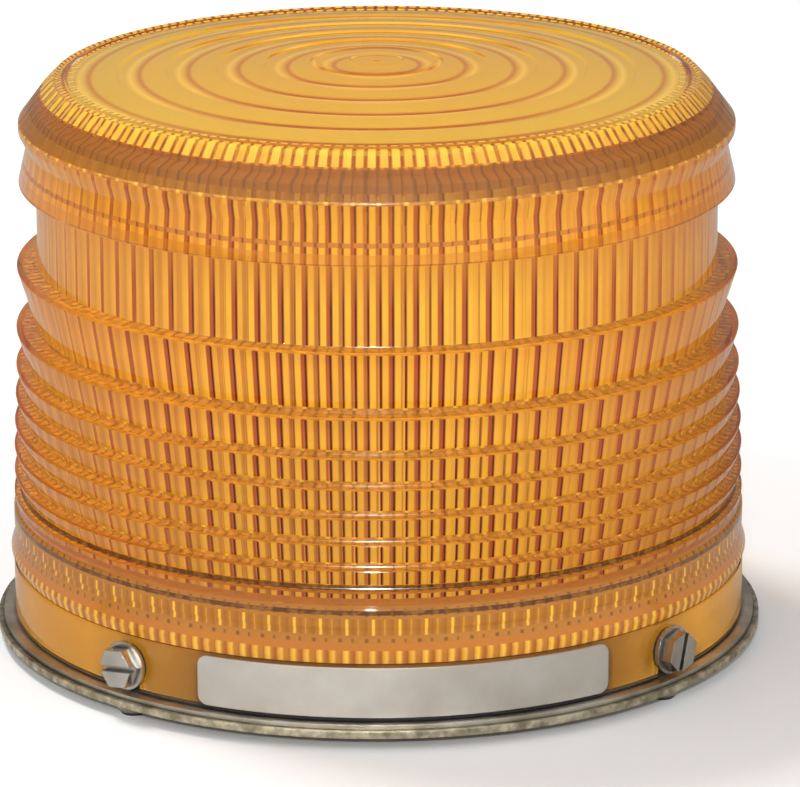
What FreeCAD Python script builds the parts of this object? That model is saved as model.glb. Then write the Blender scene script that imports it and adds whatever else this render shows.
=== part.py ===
import FreeCAD, Part
import math
import os
import re
import Sketcher

# Flash beacon: an amber Fresnel lens over a pressed steel base, with its strobe inside.
# Lengths are millimetres. Heights are measured from the underside of the base plate, and the
# finished pieces are lifted together so that the rivet heads stand on z = 0.

doc = FreeCAD.newDocument("FlashBeacon")
sheet = doc.addObject("Spreadsheet::Sheet", "Sizes")

SIZES = (
    # lens, from the skirt up
    ("skirt_radius", 79.4, "outside of the plain band that the screws go through"),
    ("skirt_wall", 2.4, "wall of the skirt"),
    ("skirt_height", 11.4, "plain band, from its foot to the bead above"),
    ("bead_groove", 0.5, "depth of the groove under the lowest ring"),
    ("bead_radius", 80.0, "lowest ring"),
    ("bead_rise", 2.6, "middle of the lowest ring above the skirt"),
    ("belt_radius", 79.2, "plain belt between the lowest ring and the prisms"),
    ("belt_foot", 22.6, "lower edge of the belt"),
    ("belt_top", 26.4, "upper edge of the belt"),
    ("belt_groove", 0.7, "depth of the grooves at both edges of the belt"),
    ("crest_radius_10", 79.1, "prism 10, outermost edge"),
    ("crest_height_10", 30.0, "prism 10, height of that edge"),
    ("crest_radius_9", 79.0, "prism 9"),
    ("crest_height_9", 34.6, "prism 9"),
    ("crest_radius_8", 78.9, "prism 8"),
    ("crest_height_8", 40.0, "prism 8"),
    ("crest_radius_7", 78.7, "prism 7"),
    ("crest_height_7", 45.5, "prism 7"),
    ("crest_radius_6", 78.4, "prism 6"),
    ("crest_height_6", 51.6, "prism 6"),
    ("crest_radius_5", 78.1, "prism 5"),
    ("crest_height_5", 58.0, "prism 5"),
    ("crest_radius_4", 77.9, "prism 4"),
    ("crest_height_4", 66.3, "prism 4"),
    ("crest_radius_3", 77.5, "prism 3, first below the neck"),
    ("crest_height_3", 79.9, "prism 3"),
    ("shelf_rise", 0.3, "rise of a prism's shelf from its edge to its root"),
    ("face_slope", 0.31, "lean of prism 3's face, mm in per mm down"),
    ("face_slope_step", 0.02, "more lean for each prism below it"),
    ("neck_radius", 73.0, "smooth neck at the height of the flash tube"),
    ("crest_radius_2", 76.7, "prism 2, first above the neck"),
    ("crest_height_2", 98.0, "prism 2"),
    ("notch_radius_1", 74.8, "root between prisms 2 and 1"),
    ("notch_height_1", 106.2, "root between prisms 2 and 1"),
    ("crest_radius_1", 76.5, "prism 1, under the shoulder"),
    ("crest_height_1", 111.0, "prism 1"),
    ("crest_land_1", 1.5, "flat on prism 1"),
    ("shoulder_radius", 72.0, "lower edge of the ribbed shoulder"),
    ("shoulder_height", 117.0, "lower edge of the ribbed shoulder"),
    ("top_edge_radius", 69.0, "edge of the crowned top"),
    ("top_edge_height", 120.2, "edge of the crowned top"),
    ("top_height", 123.4, "middle of the crowned top"),
    ("cap_radius", 14.0, "plain disc in the middle of the top"),
    ("zone_step", 0.5, "step between two ring zones of the top"),
    ("ceiling_height", 117.4, "underside of the top"),
    ("ceiling_radius", 66.0, "recess above the fluted wall"),
    ("inner_radius", 71.0, "inner wall, between its flutes"),
    ("inner_top_height", 113.0, "upper end of the inner wall"),
    ("ledge_height", 26.5, "ledge inside, under the fluted wall"),
    ("flute_count", 90, "vertical flutes round the inner wall"),
    ("flute_depth", 0.45, "depth of a flute"),
    ("flute_land", 0.25, "flat between two flutes"),
    ("flute_top", 111.0, "where the flutes run out"),
    # base
    ("plate_margin", 1.2, "base plate beyond the pan's flange"),
    ("plate_thickness", 1.5, "base plate"),
    ("flange_margin", 2.5, "flange of the base pan beyond the lens skirt"),
    ("pan_sheet", 1.0, "sheet of the base pan"),
    ("pan_height", 20.0, "top of the pan's floor"),
    ("pan_gap", 0.8, "gap between the pan's wall and the lens skirt"),
    ("pan_bend", 2.0, "rounding between the pan's wall and its floor"),
    ("gasket_thickness", 0.6, "lens gasket, as squeezed"),
    ("gasket_margin", 0.3, "how far the gasket stays inside the skirt's faces"),
    ("rivet_inset", 3.5, "axes of the four plate rivets in from the flange's edge"),
    ("rivet_head_radius", 4.2, "rivet head under the plate"),
    ("stand_height", 2.3, "height of the rivet heads, on which the beacon stands"),
    ("rivet_shank", 2.0, "radius of the rivet's shank"),
    ("rivet_play", 0.05, "gap round the shank"),
    ("bolt_circle", 60.0, "radius of the mounting bolt circle"),
    ("bolt_hole", 3.3, "radius of a mounting hole, for 1/4 inch bolts"),
    ("bolt_nut_flats", 11.0, "mounting nut across flats"),
    ("bolt_nut_height", 5.5, "mounting nut"),
    ("cable_offset", 30.0, "cable hole behind the middle"),
    ("cable_radius", 4.0, "bore of the grommet"),
    ("grommet_wall", 1.8, "rubber between bore and plate"),
    ("grommet_lip", 1.6, "lip of the grommet beyond the plate's hole"),
    ("grommet_lip_height", 1.4, "lip of the grommet above and below the plate"),
    ("cable_pan_hole", 8.0, "radius of the cable's hole in the pan"),
    # lens screws
    ("screw_height", 8.6, "height of the screws' axes"),
    ("screw_radius", 2.4, "radius of the screw's thread"),
    ("screw_length", 12.7, "screw under its head"),
    ("screw_chamfer", 0.6, "chamfer at the screw's tip"),
    ("screw_play", 0.08, "running clearance of the thread"),
    ("slot_play", 0.25, "gap between the screw and the skirt's slot"),
    ("head_washer_radius", 5.2, "formed washer of the screw's head"),
    ("head_washer_height", 0.9, "formed washer of the screw's head"),
    ("head_flats", 7.9, "hex head across flats"),
    ("head_height", 2.8, "hex above its washer"),
    ("driver_slot_width", 1.3, "driver slot"),
    ("driver_slot_depth", 1.4, "driver slot"),
    ("seal_radius", 4.7, "sealing washer"),
    ("seal_thickness", 0.9, "sealing washer"),
    ("seal_play", 0.1, "gap between the sealing washer and the skirt"),
    ("nut_flats", 8.0, "weld nut across flats"),
    ("nut_height", 3.2, "weld nut"),
    ("nut_seat", 0.2, "weld bead between the nut and the curved wall"),
    # nameplate
    ("label_thickness", 0.5, "nameplate"),
    ("label_height", 10.7, "nameplate"),
    ("label_sweep", 64.4, "degrees of the skirt that the nameplate covers"),
    ("label_corner", 2.2, "rounded corners of the nameplate"),
    ("label_film", 0.05, "adhesive under the nameplate"),
    # circuit board and what stands on it
    ("board_radius", 64.0, "circuit board"),
    ("board_thickness", 1.6, "circuit board"),
    ("standoff_height", 8.0, "board above the pan"),
    ("standoff_radius", 3.2, "standoff"),
    ("standoff_place", 40.0, "standoffs stand at plus and minus this in x and y"),
    ("small_screw", 1.5, "radius of a small screw"),
    ("small_screw_head", 2.8, "radius of a small screw's head"),
    ("small_screw_head_height", 1.8, "small screw's head"),
    ("small_screw_length", 6.0, "small screw under its head"),
    ("small_play", 0.1, "clearance round small screws and pins"),
    ("capacitor_radius", 12.5, "storage capacitor"),
    ("capacitor_height", 28.0, "storage capacitor"),
    ("capacitor_crimp", 0.9, "depth of the crimp groove round the can"),
    ("core_length", 34.0, "transformer core"),
    ("core_depth", 14.0, "transformer core"),
    ("core_height", 27.0, "transformer core"),
    ("core_leg", 5.0, "outer leg and yoke of the core"),
    ("core_post", 8.0, "middle leg of the core"),
    ("winding_bulge", 4.0, "winding beyond the core's faces"),
    ("winding_play", 0.2, "gap between winding and core"),
    ("sink_length", 30.0, "heat sink"),
    ("sink_height", 26.0, "heat sink"),
    ("sink_sheet", 1.5, "web and fins of the heat sink"),
    ("sink_fin", 9.0, "fins of the heat sink"),
    ("fin_count", 4, "fins of the heat sink"),
    ("transistor_width", 10.2, "power transistor"),
    ("transistor_body", 9.2, "moulded body of the transistor"),
    ("transistor_depth", 3.2, "moulded body of the transistor"),
    ("transistor_tab", 1.3, "metal tab of the transistor"),
    ("transistor_tab_height", 15.6, "tab, from the body's foot to its top"),
    ("transistor_lift", 6.0, "transistor's foot above the board"),
    ("small_can_radius", 4.0, "smoothing capacitor"),
    ("small_can_height", 12.0, "smoothing capacitor"),
    ("resistor_count", 5, "resistors in a row"),
    ("resistor_pitch", 5.5, "from one resistor to the next"),
    ("resistor_radius", 1.6, "resistor"),
    ("resistor_length", 9.0, "resistor"),
    ("resistor_lift", 2.4, "resistor's axis above the board"),
    ("wire_radius", 0.4, "bare leads and the trigger wire"),
    ("chip_length", 10.0, "timing chip"),
    ("chip_width", 6.5, "timing chip"),
    ("chip_height", 3.3, "timing chip"),
    ("chip_lift", 0.5, "timing chip above the board"),
    ("chip_pitch", 2.54, "from one leg of the chip to the next"),
    ("terminal_length", 16.0, "terminal block"),
    ("terminal_width", 10.0, "terminal block"),
    ("terminal_height", 11.0, "terminal block"),
    ("terminal_pitch", 8.0, "between the two terminals"),
    ("terminal_screw", 2.1, "radius of a clamp screw"),
    ("trigger_length", 13.0, "trigger transformer"),
    ("trigger_width", 11.0, "trigger transformer"),
    ("trigger_height", 12.0, "trigger transformer"),
    # reflector and flash tube
    ("post_radius", 3.5, "reflector post"),
    ("post_inset", 12.0, "axes of the posts in from the reflector's edge"),
    ("reflector_lift", 1.4, "reflector's rim above the storage capacitors"),
    ("reflector_gap", 9.0, "gap between the reflector and the lens's inner wall"),
    ("reflector_sheet", 1.0, "reflector"),
    ("reflector_rim", 4.0, "turned-down rim of the reflector"),
    ("socket_radius", 16.0, "tube socket"),
    ("socket_height", 8.0, "tube socket above the reflector"),
    ("socket_spigot", 11.0, "radius of the socket's spigot in the reflector"),
    ("spigot_length", 4.0, "spigot under the reflector"),
    ("tube_radius", 3.2, "glass of the flash tube"),
    ("tube_bore", 2.2, "bore of the flash tube"),
    ("tube_bend", 9.0, "radius of the tube's bend, between its two legs"),
    ("tube_gap", 6.7, "gap between the tube's bend and the ceiling of the lens"),
    ("tube_cap_height", 5.0, "metal caps on the tube's ends"),
    ("tube_cap_wall", 0.5, "wall of a tube cap"),
    ("pin_radius", 0.9, "tube pins"),
    # places of the parts on the board, from its middle
    ("capacitor_x_1", -34.0, "first storage capacitor"),
    ("capacitor_y_1", 8.0, "first storage capacitor"),
    ("capacitor_x_2", -4.0, "second storage capacitor"),
    ("capacitor_y_2", 26.0, "second storage capacitor"),
    ("transformer_x", 30.0, "inverter transformer"),
    ("transformer_y", -24.0, "inverter transformer"),
    ("sink_x", -32.0, "heat sink"),
    ("sink_y", -24.0, "heat sink"),
    ("small_can_x_1", -10.0, "first smoothing capacitor"),
    ("small_can_x_2", 12.0, "second smoothing capacitor"),
    ("small_can_x_3", 22.0, "third smoothing capacitor"),
    ("small_can_y", -44.0, "smoothing capacitors"),
    ("resistor_x", -14.0, "first resistor of the row"),
    ("resistor_y", -24.0, "row of resistors"),
    ("chip_x", -6.0, "timing chip"),
    ("chip_y", -6.0, "timing chip"),
    ("terminal_x", -20.0, "terminal block"),
    ("terminal_y", 46.0, "terminal block"),
    ("trigger_x", 32.0, "trigger transformer"),
    ("trigger_y", 16.0, "trigger transformer"),
)
FOLLOWING = (
    ("flange_radius", "=skirt_radius + flange_margin", "flange of the base pan"),
    ("plate_radius", "=flange_radius + plate_margin", "base plate"),
    ("rivet_circle", "=flange_radius - rivet_inset", "radius that the plate rivets stand on"),
    ("board_top", "=pan_height + standoff_height + board_thickness", "face of the circuit board"),
    ("reflector_height", "=board_top + capacitor_height + reflector_lift + reflector_rim", "its top"),
    ("reflector_radius", "=inner_radius - reflector_gap", "reflector"),
    ("post_circle", "=reflector_radius - post_inset", "radius that the posts stand on"),
    ("tube_foot", "=reflector_height + socket_height + tube_cap_wall", "foot of the tube's glass"),
    ("tube_bend_height", "=ceiling_height - tube_gap - tube_radius - tube_bend", "centre of the bend"),
    ("tube_leg", "=tube_bend_height - tube_foot - tube_cap_height", "straight legs above the caps"),
)
for row, (name, number, note) in enumerate(SIZES + FOLLOWING, start=1):
    sheet.set("A%d" % row, name)
    sheet.set("B%d" % row, str(number))
    sheet.set("C%d" % row, note)
    sheet.setAlias("B%d" % row, name)
doc.recompute()
NAMES = {name for name, number, note in SIZES + FOLLOWING}
SUB_PARTS = []


def tied(formula):
    """The formula as an expression that reads the sheet."""
    return re.sub(r"[a-z][a-z0-9_]*", lambda word: "Sizes." + word.group()
                  if word.group() in NAMES else word.group(), formula)


def value(formula):
    """The formula's present value."""
    result = sheet.evalExpression(tied(formula))
    return float(getattr(result, "Value", result))


def drive(item, prop, formula):
    """Bind one property of an object to the sheet."""
    item.setExpression(prop, tied(formula))


def finish(item, label, turn=0.0, roll=0.0):
    """Name a finished sub-part, turn it about Z and lift it onto the rivet heads."""
    rotation = FreeCAD.Rotation(turn, 0.0, roll)
    base = item.Placement.Base
    item.Placement = FreeCAD.Placement(base, rotation)
    drive(item, "Placement.Base.z", "stand_height")
    item.Label = label
    SUB_PARTS.append(item)
    return item


# Sketches and features of a body


def new_body(label):
    return doc.addObject("PartDesign::Body", label + "_body")


def sketch_on(body, role, name, offset=None):
    """Sketch on one of the body's own planes, or parallel to it at an offset."""
    sketch = body.newObject("Sketcher::SketchObject", name)
    plane = next(item for item in body.Origin.OriginFeatures if item.Role == role)
    sketch.AttachmentSupport = [(plane, "")]
    sketch.MapMode = "FlatFace"
    if offset is not None:
        drive(sketch, "AttachmentOffset.Base.z", offset)
    return sketch


def outline(sketch, corners):
    """Closed outline of straight runs through corners given as pairs of formulas."""
    points = [FreeCAD.Vector(value(x), value(y), 0) for x, y in corners]
    start = sketch.GeometryCount
    count = len(points)
    runs = [Part.LineSegment(points[i], points[(i + 1) % count]) for i in range(count)]
    sketch.addGeometry(runs, False)
    rules = [Sketcher.Constraint("Coincident", start + i, 2, start + (i + 1) % count, 1)
             for i in range(count)]
    drivers = []
    for i, (x, y) in enumerate(corners):
        for kind, axis, formula, place in (("DistanceX", -2, x, points[i].x), ("DistanceY", -1, y, points[i].y)):
            if formula == "0":
                rules.append(Sketcher.Constraint("PointOnObject", start + i, 1, axis))
            else:
                drivers.append((sketch.ConstraintCount + len(rules), formula))
                rules.append(Sketcher.Constraint(kind, -1, 1, start + i, 1, place))
    sketch.addConstraint(rules)
    for index, formula in drivers:
        drive(sketch, "Constraints[%d]" % index, formula)


def circle(sketch, x, y, radius):
    """Circle with its centre and radius given as formulas."""
    item = sketch.addGeometry(Part.Circle(FreeCAD.Vector(value(x), value(y), 0),
                                          FreeCAD.Vector(0, 0, 1), value(radius)), False)
    for kind, formula in (("DistanceX", x), ("DistanceY", y)):
        if formula == "0":
            axis = -2 if kind == "DistanceX" else -1
            sketch.addConstraint(Sketcher.Constraint("PointOnObject", item, 3, axis))
        else:
            index = sketch.addConstraint(Sketcher.Constraint(kind, -1, 1, item, 3, value(formula)))
            drive(sketch, "Constraints[%d]" % index, formula)
    index = sketch.addConstraint(Sketcher.Constraint("Radius", item, value(radius)))
    drive(sketch, "Constraints[%d]" % index, radius)


def hexagon(sketch, flats):
    """Hexagon round the origin, by its width across flats."""
    corner = "%s / sqrt(3)" % flats
    half = "%s / (2 * sqrt(3))" % flats
    side = "%s / 2" % flats
    outline(sketch, [(corner, "0"), (half, side), ("-" + half, side),
                     ("-" + corner, "0"), ("-" + half, "-" + side), (half, "-" + side)])


def feature(body, kind, name, profile, **settings):
    """PartDesign feature made from a profile; keyword values that are text are formulas."""
    item = body.newObject("PartDesign::" + kind, name)
    item.Profile = profile
    for prop, setting in settings.items():
        if isinstance(setting, str):
            drive(item, prop, setting)
        else:
            setattr(item, prop, setting)
    return item


def lathe(body, sketch, angle=360.0, axis="V_Axis", symmetric=False):
    item = body.newObject("PartDesign::Revolution", "Turned")
    item.Profile = sketch
    item.ReferenceAxis = (sketch, [axis])
    if isinstance(angle, str):
        drive(item, "Angle", angle)
    else:
        item.Angle = angle
    item.Midplane = symmetric
    return item


def polar(body, originals, count, name):
    """Repeat features round the body's Z axis."""
    item = body.newObject("PartDesign::PolarPattern", name)
    item.Originals = originals
    axis = next(line for line in body.Origin.OriginFeatures if line.Role == "Z_Axis")
    item.Axis = (axis, [""])
    item.Angle = 360.0
    if isinstance(count, str):
        drive(item, "Occurrences", count)
    else:
        item.Occurrences = count
    body.Tip = item
    return item


def cuts(body, before, what):
    """A cut that removes nothing is a mistake."""
    doc.recompute()
    after = body.Shape.Volume
    if after >= before - 1e-6:
        raise RuntimeError("nothing was cut: " + what)
    return after


# Plain solids


def box(name, length, width, height, x, y, z):
    """Box centred on x and y, standing on z."""
    item = doc.addObject("Part::Box", name)
    for prop, formula in (("Length", length), ("Width", width), ("Height", height)):
        drive(item, prop, formula)
    drive(item, "Placement.Base.x", "%s - (%s) / 2" % (x, length))
    drive(item, "Placement.Base.y", "%s - (%s) / 2" % (y, width))
    drive(item, "Placement.Base.z", z)
    return item


def cylinder(name, radius, height, x, y, z, along="z"):
    """Cylinder from a point, along one axis."""
    item = doc.addObject("Part::Cylinder", name)
    turns = {"z": FreeCAD.Rotation(), "x": FreeCAD.Rotation(FreeCAD.Vector(0, 1, 0), 90),
             "y": FreeCAD.Rotation(FreeCAD.Vector(1, 0, 0), -90)}
    item.Placement = FreeCAD.Placement(FreeCAD.Vector(), turns[along])
    drive(item, "Radius", radius)
    drive(item, "Height", height)
    for prop, formula in (("x", x), ("y", y), ("z", z)):
        drive(item, "Placement.Base." + prop, formula)
    return item


def cut(name, base, tool):
    item = doc.addObject("Part::Cut", name)
    item.Base = base
    item.Tool = tool
    return item


def joined(name, items):
    item = doc.addObject("Part::MultiFuse", name)
    item.Shapes = items
    return item


def around(circle_radius, count, first=0.0):
    """Places on a circle, as pairs of formulas, with the first at an angle in degrees."""
    places = []
    for step in range(count):
        angle = first + 360.0 * step / count
        places.append(("%s * %.9f" % (circle_radius, math.cos(math.radians(angle))),
                       "%s * %.9f" % (circle_radius, math.sin(math.radians(angle)))))
    return places


SCREW_ANGLES = (-135.0, -45.0, 45.0, 135.0)
SCREW_ROLLS = (8.0, 75.0, 40.0, 65.0)
SKIRT_FOOT = "plate_thickness + pan_sheet + gasket_thickness"
SKIRT_TOP = "(%s + skirt_height)" % SKIRT_FOOT
SKIRT_INNER = "skirt_radius - skirt_wall"
PAN_OUTER = "(skirt_radius - skirt_wall - pan_gap)"
FIRST_PRISM = 3
LAST_PRISM = 10


# Lens


def lens_outside():
    """Corners of the outer face, from the skirt's foot to the middle of the top."""
    corners = [
        ("skirt_radius", SKIRT_FOOT),
        ("skirt_radius", SKIRT_TOP),
        ("skirt_radius - bead_groove", SKIRT_TOP),
        ("bead_radius", SKIRT_TOP + " + bead_rise"),
        ("belt_radius - belt_groove", "belt_foot - belt_groove"),
        ("belt_radius", "belt_foot"),
        ("belt_radius", "belt_top"),
        ("belt_radius - belt_groove", "belt_top + belt_groove"),
    ]
    for number in range(LAST_PRISM, FIRST_PRISM - 1, -1):
        edge_height = "crest_height_%d" % number
        root_height = edge_height + " + shelf_rise"
        if number > FIRST_PRISM:
            above = number - 1
            slope = "(face_slope + face_slope_step * %d)" % (above - FIRST_PRISM)
            fall = "(crest_height_%d - crest_height_%d - shelf_rise)" % (above, number)
            root = "crest_radius_%d - %s * %s" % (above, slope, fall)
        else:
            root = "neck_radius"
        corners += [("crest_radius_%d" % number, edge_height), (root, root_height)]
    corners += [
        ("neck_radius", "crest_height_2 - shelf_rise"),
        ("crest_radius_2", "crest_height_2"),
        ("notch_radius_1", "notch_height_1"),
        ("crest_radius_1", "crest_height_1 - crest_land_1"),
        ("crest_radius_1", "crest_height_1"),
        ("shoulder_radius", "shoulder_height"),
        ("top_edge_radius", "top_edge_height"),
        ("cap_radius", "top_height - zone_step"),
        ("cap_radius", "top_height"),
        ("0", "top_height"),
    ]
    return corners


def lens_inside():
    """Corners of the inner face as turned, before the dome is hollowed to the fluted wall."""
    return [
        ("0", "ledge_height"),
        (SKIRT_INNER, "ledge_height"),
        (SKIRT_INNER, SKIRT_FOOT),
    ]


def make_lens():
    body = new_body("lens")
    wall = sketch_on(body, "XZ_Plane", "LensWall")
    outline(wall, lens_outside() + lens_inside())
    lathe(body, wall)
    doc.recompute()
    volume = body.Shape.Volume

    core = sketch_on(body, "XY_Plane", "CoreShape", "ledge_height - 1")
    circle(core, "0", "0", "inner_radius")
    hollow = feature(body, "Pocket", "Hollow", core, Length="inner_top_height - ledge_height + 1")
    hollow.Reversed = True
    volume = cuts(body, volume, "hollow")
    recess = sketch_on(body, "XY_Plane", "RecessShape", "inner_top_height - 1")
    circle(recess, "0", "0", "ceiling_radius")
    dome = feature(body, "Pocket", "Ceiling", recess, Length="ceiling_height - inner_top_height + 1")
    dome.Reversed = True
    volume = cuts(body, volume, "ceiling")

    slot = sketch_on(body, "YZ_Plane", "ScrewSlotShape")
    half = "(screw_radius + slot_play)"
    outline(slot, [("-" + half, "0"), (half, "0"), (half, "screw_height"), ("-" + half, "screw_height")])
    opening = feature(body, "Pocket", "ScrewSlot", slot, Length="bead_radius + 1")
    opening.Reversed = True
    volume = cuts(body, volume, "screw slot")
    arch = sketch_on(body, "YZ_Plane", "ScrewArchShape")
    circle(arch, "0", "screw_height", half)
    arch_cut = feature(body, "Pocket", "ScrewArch", arch, Length="bead_radius + 1")
    arch_cut.Reversed = True
    volume = cuts(body, volume, "screw arch")
    polar(body, [opening, arch_cut], 4, "ScrewSlots")
    volume = cuts(body, volume, "screw slots")

    half_width = "(inner_radius * sin(180 / flute_count) - flute_land / 2)"
    bulge = "(flute_depth + %s ^ 2 / (2 * inner_radius))" % half_width
    root = "inner_radius + flute_depth"
    flute = sketch_on(body, "XY_Plane", "FluteShape", "ledge_height - 1")
    outline(flute, [(root, "0"), ("%s - 2 * %s" % (root, bulge), "2 * " + half_width),
                    ("%s - 2 * %s" % (root, bulge), "-2 * " + half_width)])
    groove = feature(body, "Pocket", "Flute", flute, Length="flute_top - ledge_height + 1")
    groove.Reversed = True
    volume = cuts(body, volume, "flute")
    polar(body, [groove], "flute_count", "Flutes")
    cuts(body, volume, "flutes")
    finish(body, "lens", 45.0)


make_lens()


# Base: plate, pan, rivets, nuts and grommet


def drill(body, name, places, radius, top, depth):
    """Round holes down through a body, at places given as pairs of formulas."""
    for number, (x, y) in enumerate(places, start=1):
        sketch = sketch_on(body, "XY_Plane", "%sShape%d" % (name, number), top)
        circle(sketch, x, y, radius)
        doc.recompute()
        before = body.Shape.Volume
        feature(body, "Pocket", "%s%d" % (name, number), sketch, Length=depth)
        cuts(body, before, name)


RIVET_PLACES = around("rivet_circle", 4, 45.0)
BOLT_PLACES = around("bolt_circle", 4)
GROMMET_OUTER = "cable_radius + grommet_wall"


def make_base_plate():
    body = new_body("base_plate")
    disc = sketch_on(body, "XY_Plane", "Disc")
    circle(disc, "0", "0", "plate_radius")
    feature(body, "Pad", "Plate", disc, Length="plate_thickness")
    drill(body, "RivetHole", RIVET_PLACES, "rivet_shank + rivet_play", "plate_thickness + 1",
          "plate_thickness + 2")
    drill(body, "BoltHole", BOLT_PLACES, "bolt_hole", "plate_thickness + 1", "plate_thickness + 2")
    drill(body, "CableHole", [("0", "cable_offset")], GROMMET_OUTER, "plate_thickness + 1",
          "plate_thickness + 2")
    finish(body, "base_plate")


def make_base_pan():
    body = new_body("base_pan")
    sheet_profile = sketch_on(body, "XZ_Plane", "PanSheet")
    outer_bend = "(pan_bend + pan_sheet)"
    outline(sheet_profile, [
        ("flange_radius", "plate_thickness"),
        ("flange_radius", "plate_thickness + pan_sheet"),
        (PAN_OUTER, "plate_thickness + pan_sheet"),
        (PAN_OUTER, "pan_height - " + outer_bend),
        ("%s - %s" % (PAN_OUTER, outer_bend), "pan_height"),
        ("0", "pan_height"),
        ("0", "pan_height - pan_sheet"),
        ("%s - %s" % (PAN_OUTER, outer_bend), "pan_height - pan_sheet"),
        ("%s - pan_sheet" % PAN_OUTER, "pan_height - " + outer_bend),
        ("%s - pan_sheet" % PAN_OUTER, "plate_thickness"),
    ])
    lathe(body, sheet_profile)
    drill(body, "RivetHole", around("rivet_circle", 4), "rivet_shank + rivet_play",
          "plate_thickness + pan_sheet + 1", "pan_sheet + 2")
    diagonal = "cable_offset * sqrt(0.5)"
    drill(body, "CableHole", [(diagonal, diagonal)], "cable_pan_hole", "pan_height + 1", "pan_sheet + 2")
    doc.recompute()
    before = body.Shape.Volume
    hole = sketch_on(body, "YZ_Plane", "ScrewHoleShape")
    circle(hole, "0", "screw_height", "screw_radius + screw_play")
    opening = feature(body, "Pocket", "ScrewHole", hole, Length="flange_radius")
    opening.Reversed = True
    before = cuts(body, before, "screw hole")
    polar(body, [opening], 4, "ScrewHoles")
    cuts(body, before, "screw holes")
    finish(body, "base_pan", 45.0)


def make_plate_rivets():
    """Rivets with a low round head below, set flush above."""
    rivets = []
    for number, (x, y) in enumerate(RIVET_PLACES, start=1):
        shank = cylinder("RivetShank%d" % number, "rivet_shank",
                         "plate_thickness + pan_sheet + stand_height / 2", x, y, "-stand_height / 2")
        head = doc.addObject("Part::Cone", "RivetHead%d" % number)
        drive(head, "Radius1", "rivet_head_radius * 0.62")
        drive(head, "Radius2", "rivet_head_radius")
        drive(head, "Height", "stand_height")
        for prop, formula in (("x", x), ("y", y), ("z", "-stand_height")):
            drive(head, "Placement.Base." + prop, formula)
        rivets += [shank, head]
    finish(joined("PlateRivets", rivets), "plate_rivets")


def nut(name, flats, height, hole, x, y, z):
    """Hexagon nut standing on z."""
    outer = doc.addObject("Part::Prism", name + "Hex")
    outer.Polygon = 6
    drive(outer, "Circumradius", "%s / sqrt(3)" % flats)
    drive(outer, "Height", height)
    bore = cylinder(name + "Bore", hole, "%s + 2" % height, "0", "0", "-1")
    item = cut(name, outer, bore)
    for prop, formula in (("x", x), ("y", y), ("z", z)):
        drive(item, "Placement.Base." + prop, formula)
    return item


def make_mounting_nuts():
    nuts = [nut("MountingNut%d" % number, "bolt_nut_flats", "bolt_nut_height", "bolt_hole",
                x, y, "plate_thickness") for number, (x, y) in enumerate(BOLT_PLACES, start=1)]
    finish(joined("MountingNuts", nuts), "mounting_nuts")


def make_cable_grommet():
    body = new_body("cable_grommet")
    ring = sketch_on(body, "XZ_Plane", "RubberRing")
    lip = "%s + grommet_lip" % GROMMET_OUTER
    play = "%s - small_play" % GROMMET_OUTER
    outline(ring, [
        ("cable_radius", "-grommet_lip_height"), (lip, "-grommet_lip_height"), (lip, "0"), (play, "0"),
        (play, "plate_thickness"), (lip, "plate_thickness"),
        (lip, "plate_thickness + grommet_lip_height"),
        ("cable_radius", "plate_thickness + grommet_lip_height"),
    ])
    lathe(body, ring)
    drive(body, "Placement.Base.y", "cable_offset")
    finish(body, "cable_grommet")


def make_lens_gasket():
    body = new_body("lens_gasket")
    ring = sketch_on(body, "XZ_Plane", "GasketRing")
    inside = SKIRT_INNER + " + gasket_margin"
    outside = "skirt_radius - gasket_margin"
    foot = "plate_thickness + pan_sheet"
    outline(ring, [(inside, foot), (outside, foot), (outside, SKIRT_FOOT), (inside, SKIRT_FOOT)])
    lathe(body, ring)
    finish(body, "lens_gasket")


# Lens screws, their sealing washers and their nuts


SEAL_FACE = "(skirt_radius + seal_play)"
HEAD_FACE = "(skirt_radius + seal_play + seal_thickness)"


def make_lens_screw(number, angle, roll):
    """Hex washer head with a driver slot, built along X and turned to its place."""
    label = "lens_screw_%d" % number
    body = new_body(label)
    turned = sketch_on(body, "XZ_Plane", "ShankAndWasher")
    tip = "(%s - screw_length)" % HEAD_FACE
    washer_top = "%s + head_washer_height" % HEAD_FACE
    outline(turned, [
        (tip, "0"), (tip, "screw_radius - screw_chamfer"), (tip + " + screw_chamfer", "screw_radius"),
        (HEAD_FACE, "screw_radius"), (HEAD_FACE, "head_washer_radius"),
        (washer_top, "head_washer_radius"), (washer_top, "0"),
    ])
    lathe(body, turned, axis="H_Axis")
    hexagon_shape = sketch_on(body, "YZ_Plane", "HexShape", washer_top)
    hexagon(hexagon_shape, "head_flats")
    feature(body, "Pad", "HexHead", hexagon_shape, Length="head_height")
    doc.recompute()
    before = body.Shape.Volume
    slot = sketch_on(body, "YZ_Plane", "SlotShape", "%s + head_height" % washer_top)
    half = "driver_slot_width / 2"
    outline(slot, [("-head_flats", "-" + half), ("head_flats", "-" + half), ("head_flats", half),
                   ("-head_flats", half)])
    feature(body, "Pocket", "DriverSlot", slot, Length="driver_slot_depth")
    cuts(body, before, "driver slot")
    finish(body, label, angle, roll)
    drive(body, "Placement.Base.z", "stand_height + screw_height")


def washer(name, inside, outside, start, thickness):
    """Flat ring round the X axis, from start outwards."""
    disc = cylinder(name + "Disc", outside, thickness, start, "0", "0", "x")
    bore = cylinder(name + "Bore", inside, "%s + 2" % thickness, start + " - 1", "0", "0", "x")
    return cut(name, disc, bore)


def make_sealing_washer(number, angle):
    item = washer("SealingWasher%d" % number, "screw_radius + screw_play", "seal_radius", SEAL_FACE,
                  "seal_thickness")
    finish(item, "sealing_washer_%d" % number, angle)
    drive(item, "Placement.Base.z", "stand_height + screw_height")


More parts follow.
